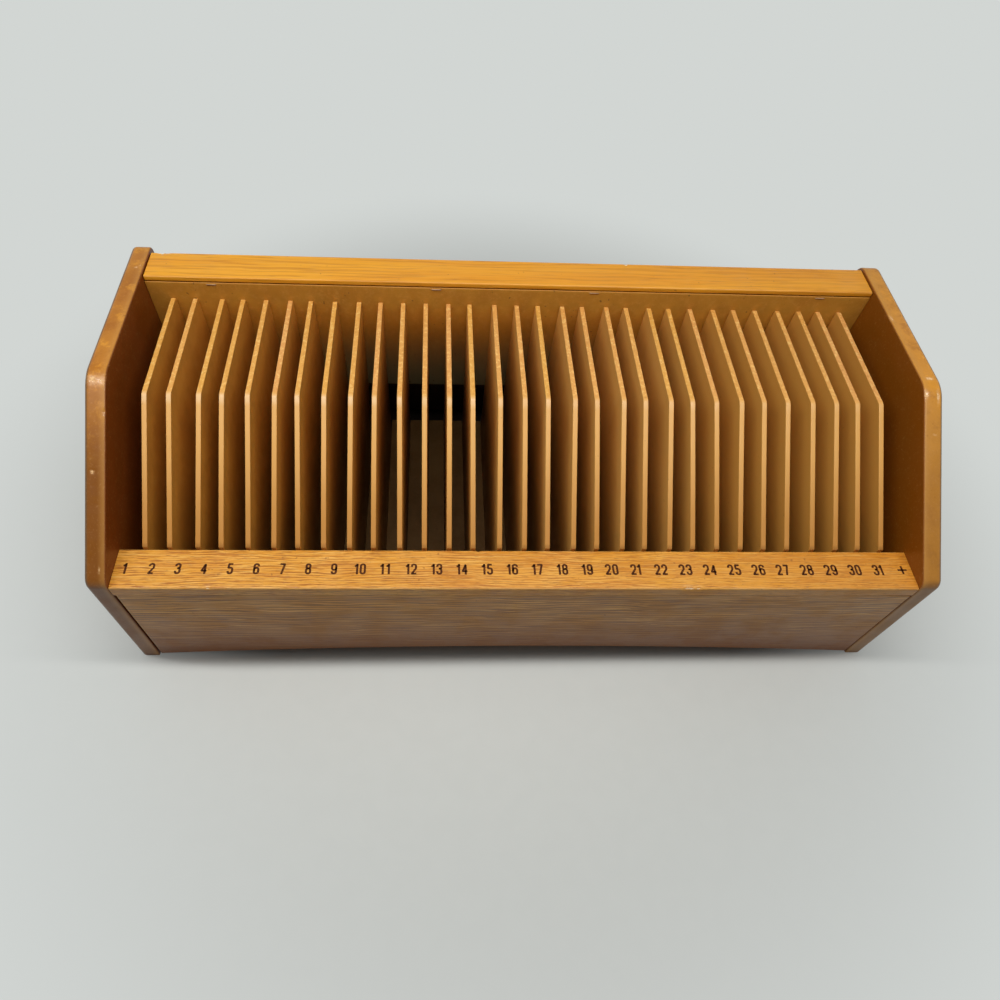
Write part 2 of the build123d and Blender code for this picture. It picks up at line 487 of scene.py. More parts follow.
def new_tree(owner: bpy.types.Material | bpy.types.World) -> Graph:
    """Give a material or world an empty tree of nodes.

    Args:
        owner: the material or world.

    Returns:
        The tree's graph.
    """
    owner.use_nodes = True
    owner.node_tree.nodes.clear()
    return Graph(owner.node_tree)


def new_group(
    name: str, numbers: tuple[str, ...], masks: tuple[str, ...]
) -> tuple[Graph, Sockets, Sockets]:
    """Start a shader node group, whose first input is the vector that its noises read.

    Args:
        name: the group's name.
        numbers: the names of its other inputs.
        masks: the names of its outputs.

    Returns:
        Its graph, the outputs of its input node and the inputs of its output node.
    """
    tree = bpy.data.node_groups.new(name, "ShaderNodeTree")
    tree.interface.new_socket("Vector", in_out="INPUT", socket_type="NodeSocketVector")
    for way, titles in (("INPUT", numbers), ("OUTPUT", masks)):
        for title in titles:
            tree.interface.new_socket(title, in_out=way, socket_type="NodeSocketFloat")
    graph = Graph(tree)
    return graph, graph.add("NodeGroupInput").outputs, graph.add("NodeGroupOutput").inputs


@dataclass
class Effects:
    """The node groups that several finishes share.

    A field named after a noise says how fine it is; those of the grain are measured in streaks,
    except the sway. A fade cuts a noise to a mask.
    """

    sway_noise: Point = (26.0, 60.0, 60.0)
    bend_noise: Point = (0.55, 0.30, 0.30)
    line_noise: Point = (0.5, 1.6, 1.6)
    pore_noise: Point = (2.6, 2.4, 2.4)
    tone_noise: Point = (0.25, 0.12, 0.12)
    ring_bend: float = 11.0
    ring_share: float = 0.08
    streak: Fade = Fade(0.48, 0.66)
    line: Fade = Fade(0.48, 0.68)
    pore: Fade = Fade(0.60, 0.70)
    tone: Fade = Fade(0.35, 0.65)
    grit_noise: float = 900.0
    patch_noise: float = 70.0
    patch: Fade = Fade(0.30, 0.62, 0.55, 1.0)
    chipped: Fade = Fade(0.34, 0.44)
    scuffed: Fade = Fade(0.02, 0.50)
    rubbed: Fade = Fade(0.25, 0.90)
    rubbed_grit: float = 0.5
    cloud_noise: float = 45.0
    cloud: Fade = Fade(0.35, 0.68)
    speck_noise: float = 420.0
    speck: Fade = Fade(0.74, 0.80)
    grain: bpy.types.NodeTree = field(init=False)
    wear: bpy.types.NodeTree = field(init=False)
    handling: bpy.types.NodeTree = field(init=False)

    def __post_init__(self) -> None:
        """Build each group once."""
        self.grain = self.wood_grain()
        self.wear = self.edge_wear()
        self.handling = self.smudges()

    def wood_grain(self) -> bpy.types.NodeTree:
        """Build the grain of wood that runs along X.

        The place is swayed sideways by slow noise, then divided by the length of a streak along X
        and by the spacing of the streaks across, so that round noise becomes drawn-out streaks.
        Year rings are sin(pi (y + z) / spacing + bend), where the bend is slower noise; they
        strengthen the dark streaks on one side and the light lines on the other.

        Returns:
            A group with the outputs Streak, Line, Pore and Tone, each 0 to 1.
        """
        masks = ("Streak", "Line", "Pore", "Tone")
        graph, given, result = new_group("wood_grain", ("Length", "Spacing", "Sway"), masks)
        slow = graph.noise(graph.scaled(given["Vector"], self.sway_noise), detail=1.0)
        offset = graph.times(graph.math("SUBTRACT", slow, 0.5), given["Sway"])
        sideways = graph.add("ShaderNodeCombineXYZ", {1: offset, 2: offset}).outputs[0]
        parts = {0: given["Vector"], 1: sideways}
        swayed = graph.add("ShaderNodeVectorMath", parts, operation="ADD").outputs[0]
        along = graph.math("DIVIDE", 1.0, given["Length"])
        across = graph.math("DIVIDE", 1.0, given["Spacing"])
        shares = graph.add("ShaderNodeCombineXYZ", {0: along, 1: across, 2: across}).outputs[0]
        drawn = graph.scaled(swayed, shares)
        bend = graph.noise(graph.scaled(drawn, self.bend_noise), roughness=0.6)
        y, z = graph.split(swayed)[1:3]
        turns = graph.times(graph.times(graph.math("ADD", y, z), across), np.pi)
        bent = graph.math("ADD", turns, graph.times(bend, self.ring_bend))
        rings = graph.times(graph.math("SINE", bent), self.ring_share)
        streaks = graph.noise(drawn, detail=3.0, roughness=0.55)
        lines = graph.noise(graph.scaled(drawn, self.line_noise), roughness=0.6)
        pores = graph.noise(graph.scaled(drawn, self.pore_noise), detail=1.0)
        tones = graph.noise(graph.scaled(drawn, self.tone_noise))
        return self.put_out(graph, result, {
            "Streak": (graph.math("ADD", streaks, rings), self.streak),
            "Line": (graph.math("SUBTRACT", lines, rings), self.line),
            "Pore": (pores, self.pore),
            "Tone": (tones, self.tone),
        })

    def edge_wear(self) -> bpy.types.NodeTree:
        """Build the ragged masks of chipped, scuffed and rubbed finish.

        Each mask is a layer plus fine noise: Wear gives Chipped where it is cut off sharply and
        Scuffed where it isn't, and Edge gives Rubbed.

        Returns:
            A group with the outputs Chipped, Scuffed and Rubbed, each 0 to 1.
        """
        masks = ("Chipped", "Scuffed", "Rubbed")
        graph, given, result = new_group("edge_wear", ("Wear", "Edge", "Grit"), masks)
        fine = graph.noise(given["Vector"], self.grit_noise, detail=4.0, roughness=0.65)
        broad = graph.noise(given["Vector"], self.patch_noise)
        grit = graph.times(graph.math("SUBTRACT", fine, 0.5), given["Grit"])
        scraped = graph.math("ADD", given["Wear"], grit)
        worn = graph.times(given["Edge"], graph.fade(broad, self.patch))
        ragged = graph.math("ADD", worn, graph.times(grit, self.rubbed_grit))
        return self.put_out(graph, result, {
            "Chipped": (scraped, self.chipped),
            "Scuffed": (scraped, self.scuffed),
            "Rubbed": (ragged, self.rubbed),
        })

    def smudges(self) -> bpy.types.NodeTree:
        """Build the marks of handling: cloudy patches in the shine, and sparse dark specks.

        Returns:
            A group with the outputs Cloud and Speck, each 0 to 1.
        """
        graph, given, result = new_group("smudges", (), ("Cloud", "Speck"))
        clouds = graph.noise(given["Vector"], self.cloud_noise, detail=4.0, roughness=0.6)
        specks = graph.noise(given["Vector"], self.speck_noise, detail=1.0)
        masks = {"Cloud": (clouds, self.cloud), "Speck": (specks, self.speck)}
        return self.put_out(graph, result, masks)

    @staticmethod
    def put_out(
        graph: Graph, result: Sockets, masks: dict[str, tuple[Socket, Fade]]
    ) -> bpy.types.NodeTree:
        """Fade each mask and put it out.

        Args:
            graph: the group's graph.
            result: the inputs of its output node.
            masks: a value and its fade, for the name of each output.

        Returns:
            The group.
        """
        for name, (value, fade) in masks.items():
            graph.tree.links.new(graph.fade(value, fade), result[name])
        return graph.tree


# Finishes

LACQUER = {"Coat Weight": 0.10, "Coat Roughness": 0.30}


@dataclass(frozen=True)
class Finish:
    """What the finishes have in common.

    dull is the roughness of the clearest and the cloudiest places, chip_dull the least that a chip
    has, grit how ragged the wear is and relief how far a height of one raises the surface.
    """

    name: str
    dull: tuple[float, float] = (0.38, 0.52)
    chip_dull: float = 0.0
    grit: float = 0.8
    relief: float = 0.05 * MM

    def start(self) -> tuple[bpy.types.Material, Graph]:
        """Make an empty material and return it with its graph."""
        material = bpy.data.materials.new(self.name)
        return material, new_tree(material)

    def marks(self, graph: Graph, place: Socket, effects: Effects) -> tuple[Sockets, Sockets]:
        """Place the groups of wear and of handling.

        Args:
            graph: the material's graph.
            place: the object's own coordinates.
            effects: the node groups that the finishes share.

        Returns:
            The outputs of the two groups.
        """
        edge = graph.layer(Layer.EDGE)
        layers = {"Vector": place, "Wear": graph.layer(Layer.WEAR), "Edge": edge, "Grit": self.grit}
        wear = graph.group(effects.wear, layers)
        return wear, graph.group(effects.handling, {"Vector": place})

    def roughness(self, graph: Graph, cloud: Socket, chipped: Value = 0.0) -> Socket:
        """Return the roughness: higher where cloudy, and at least chip_dull where chipped."""
        rough = graph.fade(cloud, Fade(0.0, 1.0, *self.dull))
        return graph.math("MAXIMUM", rough, graph.times(chipped, self.chip_dull))

    def close(self, graph: Graph, shader: dict, height: Socket | None = None) -> None:
        """Add the surface shader and the output.

        Args:
            graph: the material's graph.
            shader: the inputs of the surface shader.
            height: the output that raises the surface, if anything does.
        """
        if height is not None:
            raised = {"Height": height, "Distance": self.relief, "Strength": 1.0}
            shader = {**shader, "Normal": graph.add("ShaderNodeBump", raised).outputs[0]}
        surface = graph.add("ShaderNodeBsdfPrincipled", shader)
        graph.add("ShaderNodeOutputMaterial", {"Surface": surface.outputs[0]})


@dataclass(frozen=True)
class OakVeneer(Finish):
    """Clear lacquered oak, with streaks, pores and worn edges; the rubbed edges are partly a
    painted highlight.
    """

    dull: tuple[float, float] = (0.35, 0.52)
    chip_dull: float = 0.75
    light: Colour = (0.79, 0.345, 0.030)
    deep: Colour = (0.69, 0.268, 0.018)
    streak: Colour = (0.45, 0.145, 0.006)
    pore: Colour = (0.25, 0.070, 0.008)
    gleam: Colour = (0.95, 0.56, 0.13)
    pale: Colour = (0.90, 0.56, 0.20)
    bare: Colour = (0.93, 0.72, 0.46)
    ripe: Colour = (0.66, 0.235, 0.016)
    length: float = 11.0 * MM
    spacing: float = 0.66 * MM
    sway: float = 2.4 * MM
    line_power: float = 1.0
    streak_power: float = 1.0
    streak_sunk: float = 0.35
    gleam_share: float = 0.75
    pore_share: float = 0.45
    speck_share: float = 0.50
    rubbed_share: float = 0.45
    strength: Fade = Fade(-195.0 * MM, 195.0 * MM, 0.95, 0.50)
    ripened: Fade = Fade(68.25 * MM, 195.0 * MM, 0.0, 0.45)
    soaked: Fade = Fade(58.0 * MM, 0.0, 0.0, 0.0)

    def build(self, effects: Effects) -> bpy.types.Material:
        """Build the material.

        Along X, the streaks fade by strength, and towards the right end the wood turns riper and
        darker, partly as painted shade. Down Z, painted shade darkens it, and rubbed edges are
        lighter, partly as a painted highlight.

        Args:
            effects: the node groups that the finishes share.

        Returns:
            The material.
        """
        material, graph = self.start()
        place = graph.place()
        x, _, z = graph.split(place)
        wear, marks = self.marks(graph, place, effects)
        sizes = {"Length": self.length, "Spacing": self.spacing, "Sway": self.sway}
        grain = graph.group(effects.grain, {"Vector": place, **sizes})
        strength = graph.fade(x, self.strength)
        lines = graph.times(graph.math("POWER", grain["Line"], self.line_power), self.gleam_share)
        streaks = graph.math("POWER", grain["Streak"], self.streak_power)
        colour = graph.over(
            self.light,
            (grain["Tone"], self.deep),
            # towards the right end the wood is riper and darker: partly its own colour, partly
            # painted shade
            (graph.fade(x, self.ripened), self.ripe),
            (graph.times(lines, strength), self.gleam),
            (graph.times(streaks, strength), self.streak),
            (graph.times(grain["Pore"], self.pore_share), self.pore),
            (graph.times(marks["Speck"], self.speck_share), self.pore),
            # painted shade: darker towards the floor, on the front panel
            (graph.fade(z, self.soaked), self.pore),
            # rubbed edges go lighter: partly worn lacquer, partly a painted highlight along the
            # front edges
            (graph.times(wear["Rubbed"], self.rubbed_share), self.pale),
            (wear["Chipped"], self.bare),
        )
        rough = self.roughness(graph, marks["Cloud"], wear["Chipped"])
        sunk = graph.math("ADD", grain["Pore"], graph.times(streaks, self.streak_sunk))
        shader = {"Base Color": colour, "Roughness": rough, **LACQUER}
        self.close(graph, shader, graph.math("SUBTRACT", 1.0, sunk))
        return material


@dataclass(frozen=True)
class StainedBoard(Finish):
    """Orange-brown stain under satin lacquer, thin at the edges and chipped to pale wood."""

    dull: tuple[float, float] = (0.33, 0.46)
    chip_dull: float = 0.80
    grit: float = 0.9
    relief: float = 0.06 * MM
    stain: Colour = (0.46, 0.165, 0.014)
    deep: Colour = (0.34, 0.108, 0.007)
    warm: Colour = (0.54, 0.220, 0.022)
    light: Colour = (0.73, 0.325, 0.034)
    inside_left: Colour = (0.180, 0.041, 0.0030)
    inside_right: Colour = (0.31, 0.100, 0.0035)
    front: Colour = (0.22, 0.068, 0.002)
    gold: Colour = (0.76, 0.330, 0.030)
    line: Colour = (0.14, 0.062, 0.006)
    rubbed: Colour = (0.58, 0.275, 0.060)
    scuff: Colour = (0.74, 0.42, 0.17)
    bare: Colour = (0.84, 0.53, 0.25)
    shade: Colour = (0.20, 0.078, 0.008)
    rim: Fade = Fade(195.0 * MM, 195.6 * MM)
    thinned: Fade = Fade(195.5 * MM, 199.0 * MM, 0.45, 0.0)
    gathered: Fade = Fade(202.8 * MM, 203.7 * MM, 0.0, 0.85)
    forward: Fade = Fade(-50.0 * MM, -6.0 * MM, 0.90, 0.0)
    paler: Fade = Fade(-26.0 * MM, -8.0 * MM, 0.55, 0.0)
    shaded: Fade = Fade(-87.0 * MM, -89.5 * MM, 0.0, 0.75)
    golden: Fade = Fade(0.50, 0.66, 0.0, 0.60)
    dusky: Fade = Fade(0.48, 0.32, 0.0, 0.45)
    mottle_noise: float = 110.0
    peel_noise: float = 300.0
    grain_length: float = 9.0 * MM
    grain_spacing: float = 5.0 * MM
    grain_sway: float = 6.0 * MM
    warm_share: float = 0.60
    speck_share: float = 0.35
    scuff_share: float = 0.75

    def build(self, effects: Effects) -> bpy.types.Material:
        """Build the material: cloudy stain over a faint grain, with rubbed and chipped places.

        The tone layer lightens a whole panel, partly as painted light, and lightens the inner face,
        which is painted as in shade on both panels. Across the rim, the stain is rubbed thin beside
        the inner face and is darker on the outer rounding. Along it, painted shade deepens a dark
        panel towards the front, while a light one has a painted sheen there and painted shade down
        its front edge.

        Args:
            effects: the node groups that the finishes share.

        Returns:
            The material.
        """
        material, graph = self.start()
        place = graph.place()
        x, y = graph.split(place)[:2]
        out = graph.math("ABSOLUTE", x)
        wear, marks = self.marks(graph, place, effects)
        sizes = {
            "Length": self.grain_length,
            "Spacing": self.grain_spacing,
            "Sway": self.grain_sway,
        }
        grain = graph.group(effects.grain, {"Vector": place, **sizes})
        mottle = graph.noise(place, self.mottle_noise, detail=4.0, roughness=0.7)
        tone = graph.layer(Layer.TONE)
        dark = graph.math("SUBTRACT", 1.0, tone)
        rim = graph.over(
            self.stain,
            (marks["Cloud"], self.deep),
            (graph.times(grain["Tone"], self.warm_share), self.warm),
            # the tone lightens the right panel: partly its own stain, partly painted light
            (tone, self.light),
            (graph.fade(mottle, self.golden), self.gold),
            (graph.fade(mottle, self.dusky), self.deep),
            # a painted sheen down the lighter panel's slope
            (graph.times(graph.fade(y, self.paler), tone), self.rubbed),
            (graph.times(graph.fade(y, self.shaded), tone), self.shade),
            # painted shade: the darker panel deepens towards the front
            (graph.times(graph.fade(y, self.forward), dark), self.front),
            (graph.fade(out, self.gathered), self.line),
            (graph.fade(out, self.thinned), self.rubbed),
            (graph.times(marks["Speck"], self.speck_share), self.deep),
        )
        colour = graph.over(
            # painted shade on the inner faces, darker on the left panel than the right
            graph.over(self.inside_left, (tone, self.inside_right)),
            (graph.fade(out, self.rim), rim),
            (graph.times(wear["Scuffed"], self.scuff_share), self.scuff),
            (wear["Chipped"], self.bare),
        )
        rough = self.roughness(graph, marks["Cloud"], wear["Chipped"])
        peel = graph.noise(place, self.peel_noise)
        gloss = {"Roughness": rough, "Specular IOR Level": 0.40, "Coat Weight": 0.08}
        raised = graph.math("SUBTRACT", peel, wear["Chipped"])
        self.close(graph, {"Base Color": colour, **gloss}, raised)
        return material


@dataclass(frozen=True)
class SlotBoard(Finish):
    """Thin lacquered board: golden brown faces and pale sanded edges, each board its own tone."""

    relief: float = 0.04 * MM
    face: Colour = (0.58, 0.272, 0.040)
    face_deep: Colour = (0.48, 0.212, 0.028)
    face_low: Colour = (0.27, 0.112, 0.014)
    edge: Colour = (0.76, 0.380, 0.070)
    edge_pink: Colour = (0.76, 0.360, 0.100)
    slope: Colour = (0.80, 0.420, 0.110)
    slope_low: Colour = (0.60, 0.265, 0.050)
    foot: Colour = (0.36, 0.140, 0.020)
    glint: Colour = (0.94, 0.66, 0.36)
    fleck: Colour = (0.56, 0.240, 0.036)
    gleam: Colour = (0.94, 0.60, 0.20)
    # painted light: the lit colour of the left-facing faces, and its painted shade far to the right
    clear: Colour = (0.83, 0.465, 0.118)
    clear_far: Colour = (0.70, 0.350, 0.060)
    bare: Colour = (0.92, 0.62, 0.30)
    far: Fade = Fade(40.0 * MM, 130.0 * MM, 0.0, 0.75)
    leftward: Fade = Fade(0.3, -0.3)
    sinking: Fade = Fade(92.0 * MM, 33.0 * MM, 0.0, 0.85)
    flecked: Fade = Fade(-7.0 * MM, -2.0 * MM)
    flecks: Fade = Fade(0.54, 0.74, 0.0, 0.50)
    gleams: Fade = Fade(0.50, 0.32, 0.0, 0.65)
    sloping: Fade = Fade(-20.0 * MM, -66.0 * MM, 0.0, 0.95)
    footing: Fade = Fade(-65.5 * MM, -67.5 * MM, 0.0, 0.7)
    shoulder_y: float = -7.5 * MM
    beside_shoulder: Fade = Fade(3.6 * MM, 0.6 * MM)
    glinting: Fade = Fade(-150.0 * MM, 150.0 * MM, 0.45, 0.08)
    rim: Fade = Fade(0.35, 0.75)
    fine_noise: float = 1100.0
    fleck_noise: float = 640.0
    face_tone: float = 0.25
    slope_tone: float = 0.50
    speck_share: float = 0.40

    def build(self, effects: Effects) -> bpy.types.Material:
        """Build the material.

        The edge layer parts edge from face and the tone layer shifts both. The left-hand faces are
        painted lighter as painted light, less so far to the right as painted shade, and all faces
        darken towards the floor as painted shade. The edges are flecked along the top, carry a
        painted glint at the shoulder, weaker towards the right, and are plain down the slope, where
        painted shade darkens them to the foot.

        Args:
            effects: the node groups that the finishes share.

        Returns:
            The material.
        """
        material, graph = self.start()
        place = graph.place()
        x, y, z = graph.split(place)
        across = graph.split(graph.facing())[0]
        tone = graph.layer(Layer.TONE)
        wear, marks = self.marks(graph, place, effects)
        flecks = graph.noise(place, self.fleck_noise, roughness=0.6)
        # painted light: a lighter colour for the left-facing faces, turning to painted shade far to
        # the right
        clear = graph.over(self.clear, (graph.fade(x, self.far), self.clear_far))
        face = graph.over(
            self.face,
            (marks["Cloud"], self.face_deep),
            # painted light on the left-facing faces
            (graph.fade(across, self.leftward), clear),
            (graph.times(tone, self.face_tone), self.edge),
            # painted shade: the faces darken down in the slots
            (graph.fade(z, self.sinking), self.face_low),
        )
        top = graph.over(
            self.edge,
            (tone, self.edge_pink),
            (graph.fade(flecks, self.flecks), self.fleck),
            (graph.fade(flecks, self.gleams), self.gleam),
        )
        away = graph.math("ABSOLUTE", graph.math("SUBTRACT", y, self.shoulder_y))
        # a painted glint: a pale mark beside the shoulder, weaker towards the right
        glint = graph.times(graph.fade(away, self.beside_shoulder), graph.fade(x, self.glinting))
        rim = graph.over(
            self.slope,
            (graph.times(tone, self.slope_tone), self.edge),
            # painted shade: the edges darken down the slope towards the front
            (graph.fade(y, self.sloping), self.slope_low),
            # painted shade where the slope meets the rail
            (graph.fade(y, self.footing), self.foot),
            (graph.fade(y, self.flecked), top),
            (glint, self.glint),
        )
        colour = graph.over(
            face,
            (graph.fade(graph.layer(Layer.EDGE), self.rim), rim),
            (graph.times(marks["Speck"], self.speck_share), self.face_deep),
            (wear["Chipped"], self.bare),
        )
        rough = self.roughness(graph, marks["Cloud"])
        shader = {"Base Color": colour, "Roughness": rough, **LACQUER}
        self.close(graph, shader, graph.noise(place, self.fine_noise, detail=3.0, roughness=0.7))
        return material


@dataclass(frozen=True)
class Hardboard(Finish):
    """Brown pressed-fibre board with a faint felted surface and dark marks."""

    dull: tuple[float, float] = (0.45, 0.60)
    grit: float = 0.9
    relief: float = 0.08 * MM
    base: Colour = (0.61, 0.283, 0.034)
    deep: Colour = (0.52, 0.224, 0.022)
    fibre: Colour = (0.70, 0.350, 0.070)
    mark: Colour = (0.16, 0.060, 0.012)
    bare: Colour = (0.80, 0.50, 0.24)
    grime: Colour = (0.30, 0.265, 0.130)
    hidden: Colour = (0.02, 0.012, 0.008)
    fibres: Fade = Fade(0.45, 0.75, 0.0, 0.5)
    grimy: Fade = Fade(103.0 * MM, 57.0 * MM, 0.0, 0.0)
    rear: Fade = Fade(1.0, 1.0 + 0.4 * MM)
    fibre_noise: float = 500.0
    mark_share: float = 0.7
    bare_share: float = 0.7

    def build(self, effects: Effects) -> bpy.types.Material:
        """Build the material: clouds, short fibres in every direction, specks and scuffs.

        Painted shade darkens and greys it down Z, and behind rear it is painted nearly black as the
        shade of a recess.

        Args:
            effects: the node groups that the finishes share.

        Returns:
            The material.
        """
        material, graph = self.start()
        place = graph.place()
        y, z = graph.split(place)[1:3]
        wear, marks = self.marks(graph, place, effects)
        fibres = graph.noise(place, self.fibre_noise, detail=4.0, roughness=0.7)
        colour = graph.over(
            self.base,
            (marks["Cloud"], self.deep),
            (graph.fade(fibres, self.fibres), self.fibre),
            # painted shade: darker and greyer down Z, low in the slots
            (graph.fade(z, self.grimy), self.grime),
            # painted shade: nearly black behind rear, in the recess
            (graph.fade(y, self.rear), self.hidden),
            (graph.times(marks["Speck"], self.mark_share), self.mark),
            (graph.times(wear["Chipped"], self.bare_share), self.bare),
        )
        rough = self.roughness(graph, marks["Cloud"])
        self.close(graph, {"Base Color": colour, "Roughness": rough}, fibres)
        return material


@dataclass(frozen=True)
class PrintedInk(Finish):
    """Dark brown ink, thin in places so that the wood shows through."""

    relief: float = 0.02 * MM
    ink: Colour = (0.070, 0.018, 0.004)
    thin: Colour = (0.22, 0.070, 0.010)
    thinned: Fade = Fade(0.50, 0.72)
    shine: Fade = Fade(0.3, 0.7, 0.42, 0.60)
    fine_noise: float = 1500.0

    def build(self) -> bpy.types.Material:
        """Build the material: fine noise thins the ink.

        Returns:
            The material.
        """
        material, graph = self.start()
        fine = graph.noise(graph.place(), self.fine_noise, detail=3.0, roughness=0.7)
        colour = graph.over(self.ink, (graph.fade(fine, self.thinned), self.thin))
        rough = graph.fade(fine, self.shine)
        shader = {"Base Color": colour, "Roughness": rough, "Specular IOR Level": 0.15}
        self.close(graph, shader, fine)
        return material


@dataclass(frozen=True)
class StapleWire(Finish):
    """Bright drawn wire with a little tarnish."""

    dull: tuple[float, float] = (0.38, 0.55)
    bright: Colour = (0.50, 0.31, 0.17)
    tarnish: Colour = (0.24, 0.115, 0.045)
    tarnish_share: float = 0.6
    fineness: float = 12.0

    def build(self, effects: Effects) -> bpy.types.Material:
        """Build the material: smudges dull the wire.

        Args:
            effects: the node groups that the finishes share.

        Returns:
            The material.
        """
        material, graph = self.start()
        place = graph.scaled(graph.place(), (self.fineness,) * 3)
        cloud = graph.group(effects.handling, {"Vector": place})["Cloud"]
        colour = graph.over(self.bright, (graph.times(cloud, self.tarnish_share), self.tarnish))
        rough = self.roughness(graph, cloud)
        self.close(graph, {"Base Color": colour, "Roughness": rough, "Metallic": 0.6})
        return material


@dataclass(frozen=True)
class BareDowel(Finish):
    """Unfinished dowel wood with its grain along X."""

    light: Colour = (0.72, 0.55, 0.33)
    dark: Colour = (0.52, 0.36, 0.19)
    length: float = 8.0 * MM
    spacing: float = 0.6 * MM
    sway: float = 0.5 * MM

    def build(self, effects: Effects) -> bpy.types.Material:
        """Build the material: plain streaks along the dowel.

        Args:
            effects: the node groups that the finishes share.

        Returns:
            The material.
        """
        material, graph = self.start()
        sizes = {"Length": self.length, "Spacing": self.spacing, "Sway": self.sway}
        grain = graph.group(effects.grain, {"Vector": graph.place(), **sizes})
        colour = graph.over(self.light, (grain["Streak"], self.dark))
        self.close(graph, {"Base Color": colour, "Roughness": 0.7}, grain["Line"])
        return material


RAIL_OAK = OakVeneer("rail_oak")
# the rail's veneer, painted darker as painted shade for the front panel, with longer streaks
FRONT_OAK_SHADED = OakVeneer(
    "front_oak_shaded",
    light=(0.60, 0.242, 0.018),
    deep=(0.49, 0.192, 0.011),
    streak=(0.27, 0.092, 0.008),
    gleam=(0.92, 0.48, 0.10),
    length=34.0 * MM,
    spacing=1.15 * MM,
    sway=3.0 * MM,
    line_power=2.5,
    streak_power=1.8,
    gleam_share=1.0,
    pore_share=0.25,
    strength=Fade(-195.0 * MM, 195.0 * MM, 0.85, 0.65),
    ripened=Fade(68.25 * MM, 195.0 * MM, 0.0, 0.0),
    soaked=Fade(58.0 * MM, 0.0, 0.0, 0.95),
)
STRIP_OAK = OakVeneer(
    "strip_oak",
    light=(0.90, 0.398, 0.019),
    deep=(0.83, 0.332, 0.014),
    gleam=(0.97, 0.52, 0.07),
    pale=(0.95, 0.62, 0.26),
    ripe=(0.70, 0.255, 0.010),
    length=44.0 * MM,
    spacing=1.5 * MM,
    pore_share=0.20,
    rubbed_share=0.12,
    strength=Fade(-195.0 * MM, 195.0 * MM, 0.38, 0.25),
    ripened=Fade(68.25 * MM, 195.0 * MM, 0.0, 0.35),
)
HARDBOARD = Hardboard("hardboard", grimy=Fade(103.0 * MM, 57.0 * MM, 0.0, 0.95))
SHADED_BOARD = Hardboard(
    "shaded_board",
    base=(0.09, 0.052, 0.030),
    deep=(0.07, 0.040, 0.022),
    fibre=(0.12, 0.070, 0.040),
)
# behind the step at rear, the floor board is painted nearly black as painted shade
DUSTY_BOARD = Hardboard(
    "dusty_board",
    base=(0.34, 0.178, 0.050),
    deep=(0.27, 0.130, 0.032),
    fibre=(0.40, 0.215, 0.080),
    rear=Fade(69.2 * MM, 69.6 * MM),
)


# Pieces


@dataclass
class Piece:
    """One finished piece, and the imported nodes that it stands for.

    tone goes to the tone layer, and edges that turn by more than crease degrees stay sharp. Dents
    are roughened by dent_noise, in lumps of the size dent_ripple.
    """

    name: str
    material: bpy.types.Material
    nodes: tuple[str, ...] = ()
    slot: str | None = None
    chips: tuple[Chip, ...] = ()
    tone: float = 0.0
    crease: float = 40.0
    dent_noise: float = 0.35
    dent_ripple: float = 2.2 * MM
    dent_seed: int = 5

    def make(self, surface: Surface) -> bpy.types.Object:
        """Turn a surface into an object that rides on the body.

        Args:
            surface: the closed surface, in place.

        Returns:
            The new object.
        """
        mesh = bpy.data.meshes.new(self.name)
        faces = [len(surface.quads) * 4] + [len(cap) for cap in surface.caps]
        corners = np.concatenate([surface.quads.ravel(), *surface.caps])
        starts = np.concatenate([np.arange(0, faces[0], 4), np.cumsum(faces)[:-1]])
        mesh.vertices.add(len(surface.vertices))
        mesh.vertices.foreach_set("co", surface.vertices.astype(np.float32).ravel())
        mesh.loops.add(len(corners))
        mesh.polygons.add(len(starts))
        mesh.polygons.foreach_set("loop_start", starts.astype(np.int32))
        mesh.loops.foreach_set("vertex_index", corners.astype(np.int32))
        mesh.update(calc_edges=True)
        mesh.validate()
        wear = self.knock(mesh, surface.vertices)
        tone = np.full(len(wear), self.tone)
        values = {Layer.EDGE: surface.edge, Layer.WEAR: wear, Layer.TONE: tone}
        for layer, value in values.items():
            stored = mesh.attributes.new(layer.value, "FLOAT", "POINT")
            stored.data.foreach_set("value", value.astype(np.float32))
        mesh.shade_smooth()
        mesh.set_sharp_from_angle(angle=np.radians(self.crease))
        mesh.materials.append(self.material)
        made = bpy.data.objects.new(self.name, mesh)
        bpy.context.scene.collection.objects.link(made)
        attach(made, BODY)
        if self.nodes:
            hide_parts(*self.nodes)
        LOG.info("%s: %d vertices", self.name, len(surface.vertices))
        return made

    def knock(self, mesh: bpy.types.Mesh, vertices: np.ndarray) -> np.ndarray:
        """Dent the mesh at each chip.

        At a point p, a chip's share is 1 - |(p - place) / reach|, not under 0. The point goes
        inwards by depth times the smoothstep of twice that share, roughened by a ripple.

        Args:
            mesh: the mesh to dent.
            vertices: where its vertices are.

        Returns:
            How worn each vertex is, 0 to 1.
        """
        wear = np.zeros(len(vertices))
        if not self.chips:
            return wear
        dent = np.zeros(len(vertices))
        rough = 1.0 + self.dent_noise * ripple(vertices, self.dent_ripple, self.dent_seed)
        for chip in self.chips:
            away = np.linalg.norm((vertices - np.array(chip.place)) / np.array(chip.reach), axis=1)
            share = np.clip(1.0 - away, 0.0, 1.0)
            dent = np.maximum(dent, chip.depth * smoothstep(2.0 * share) * rough)
            wear = np.maximum(wear, chip.bare * share)
        normals = np.empty(len(vertices) * 3, np.float32)
        mesh.vertex_normals.foreach_get("vector", normals)
        moved = vertices - dent[:, None] * normals.reshape(-1, 3)
        mesh.vertices.foreach_set("co", moved.astype(np.float32).ravel())
        mesh.update()
        return wear


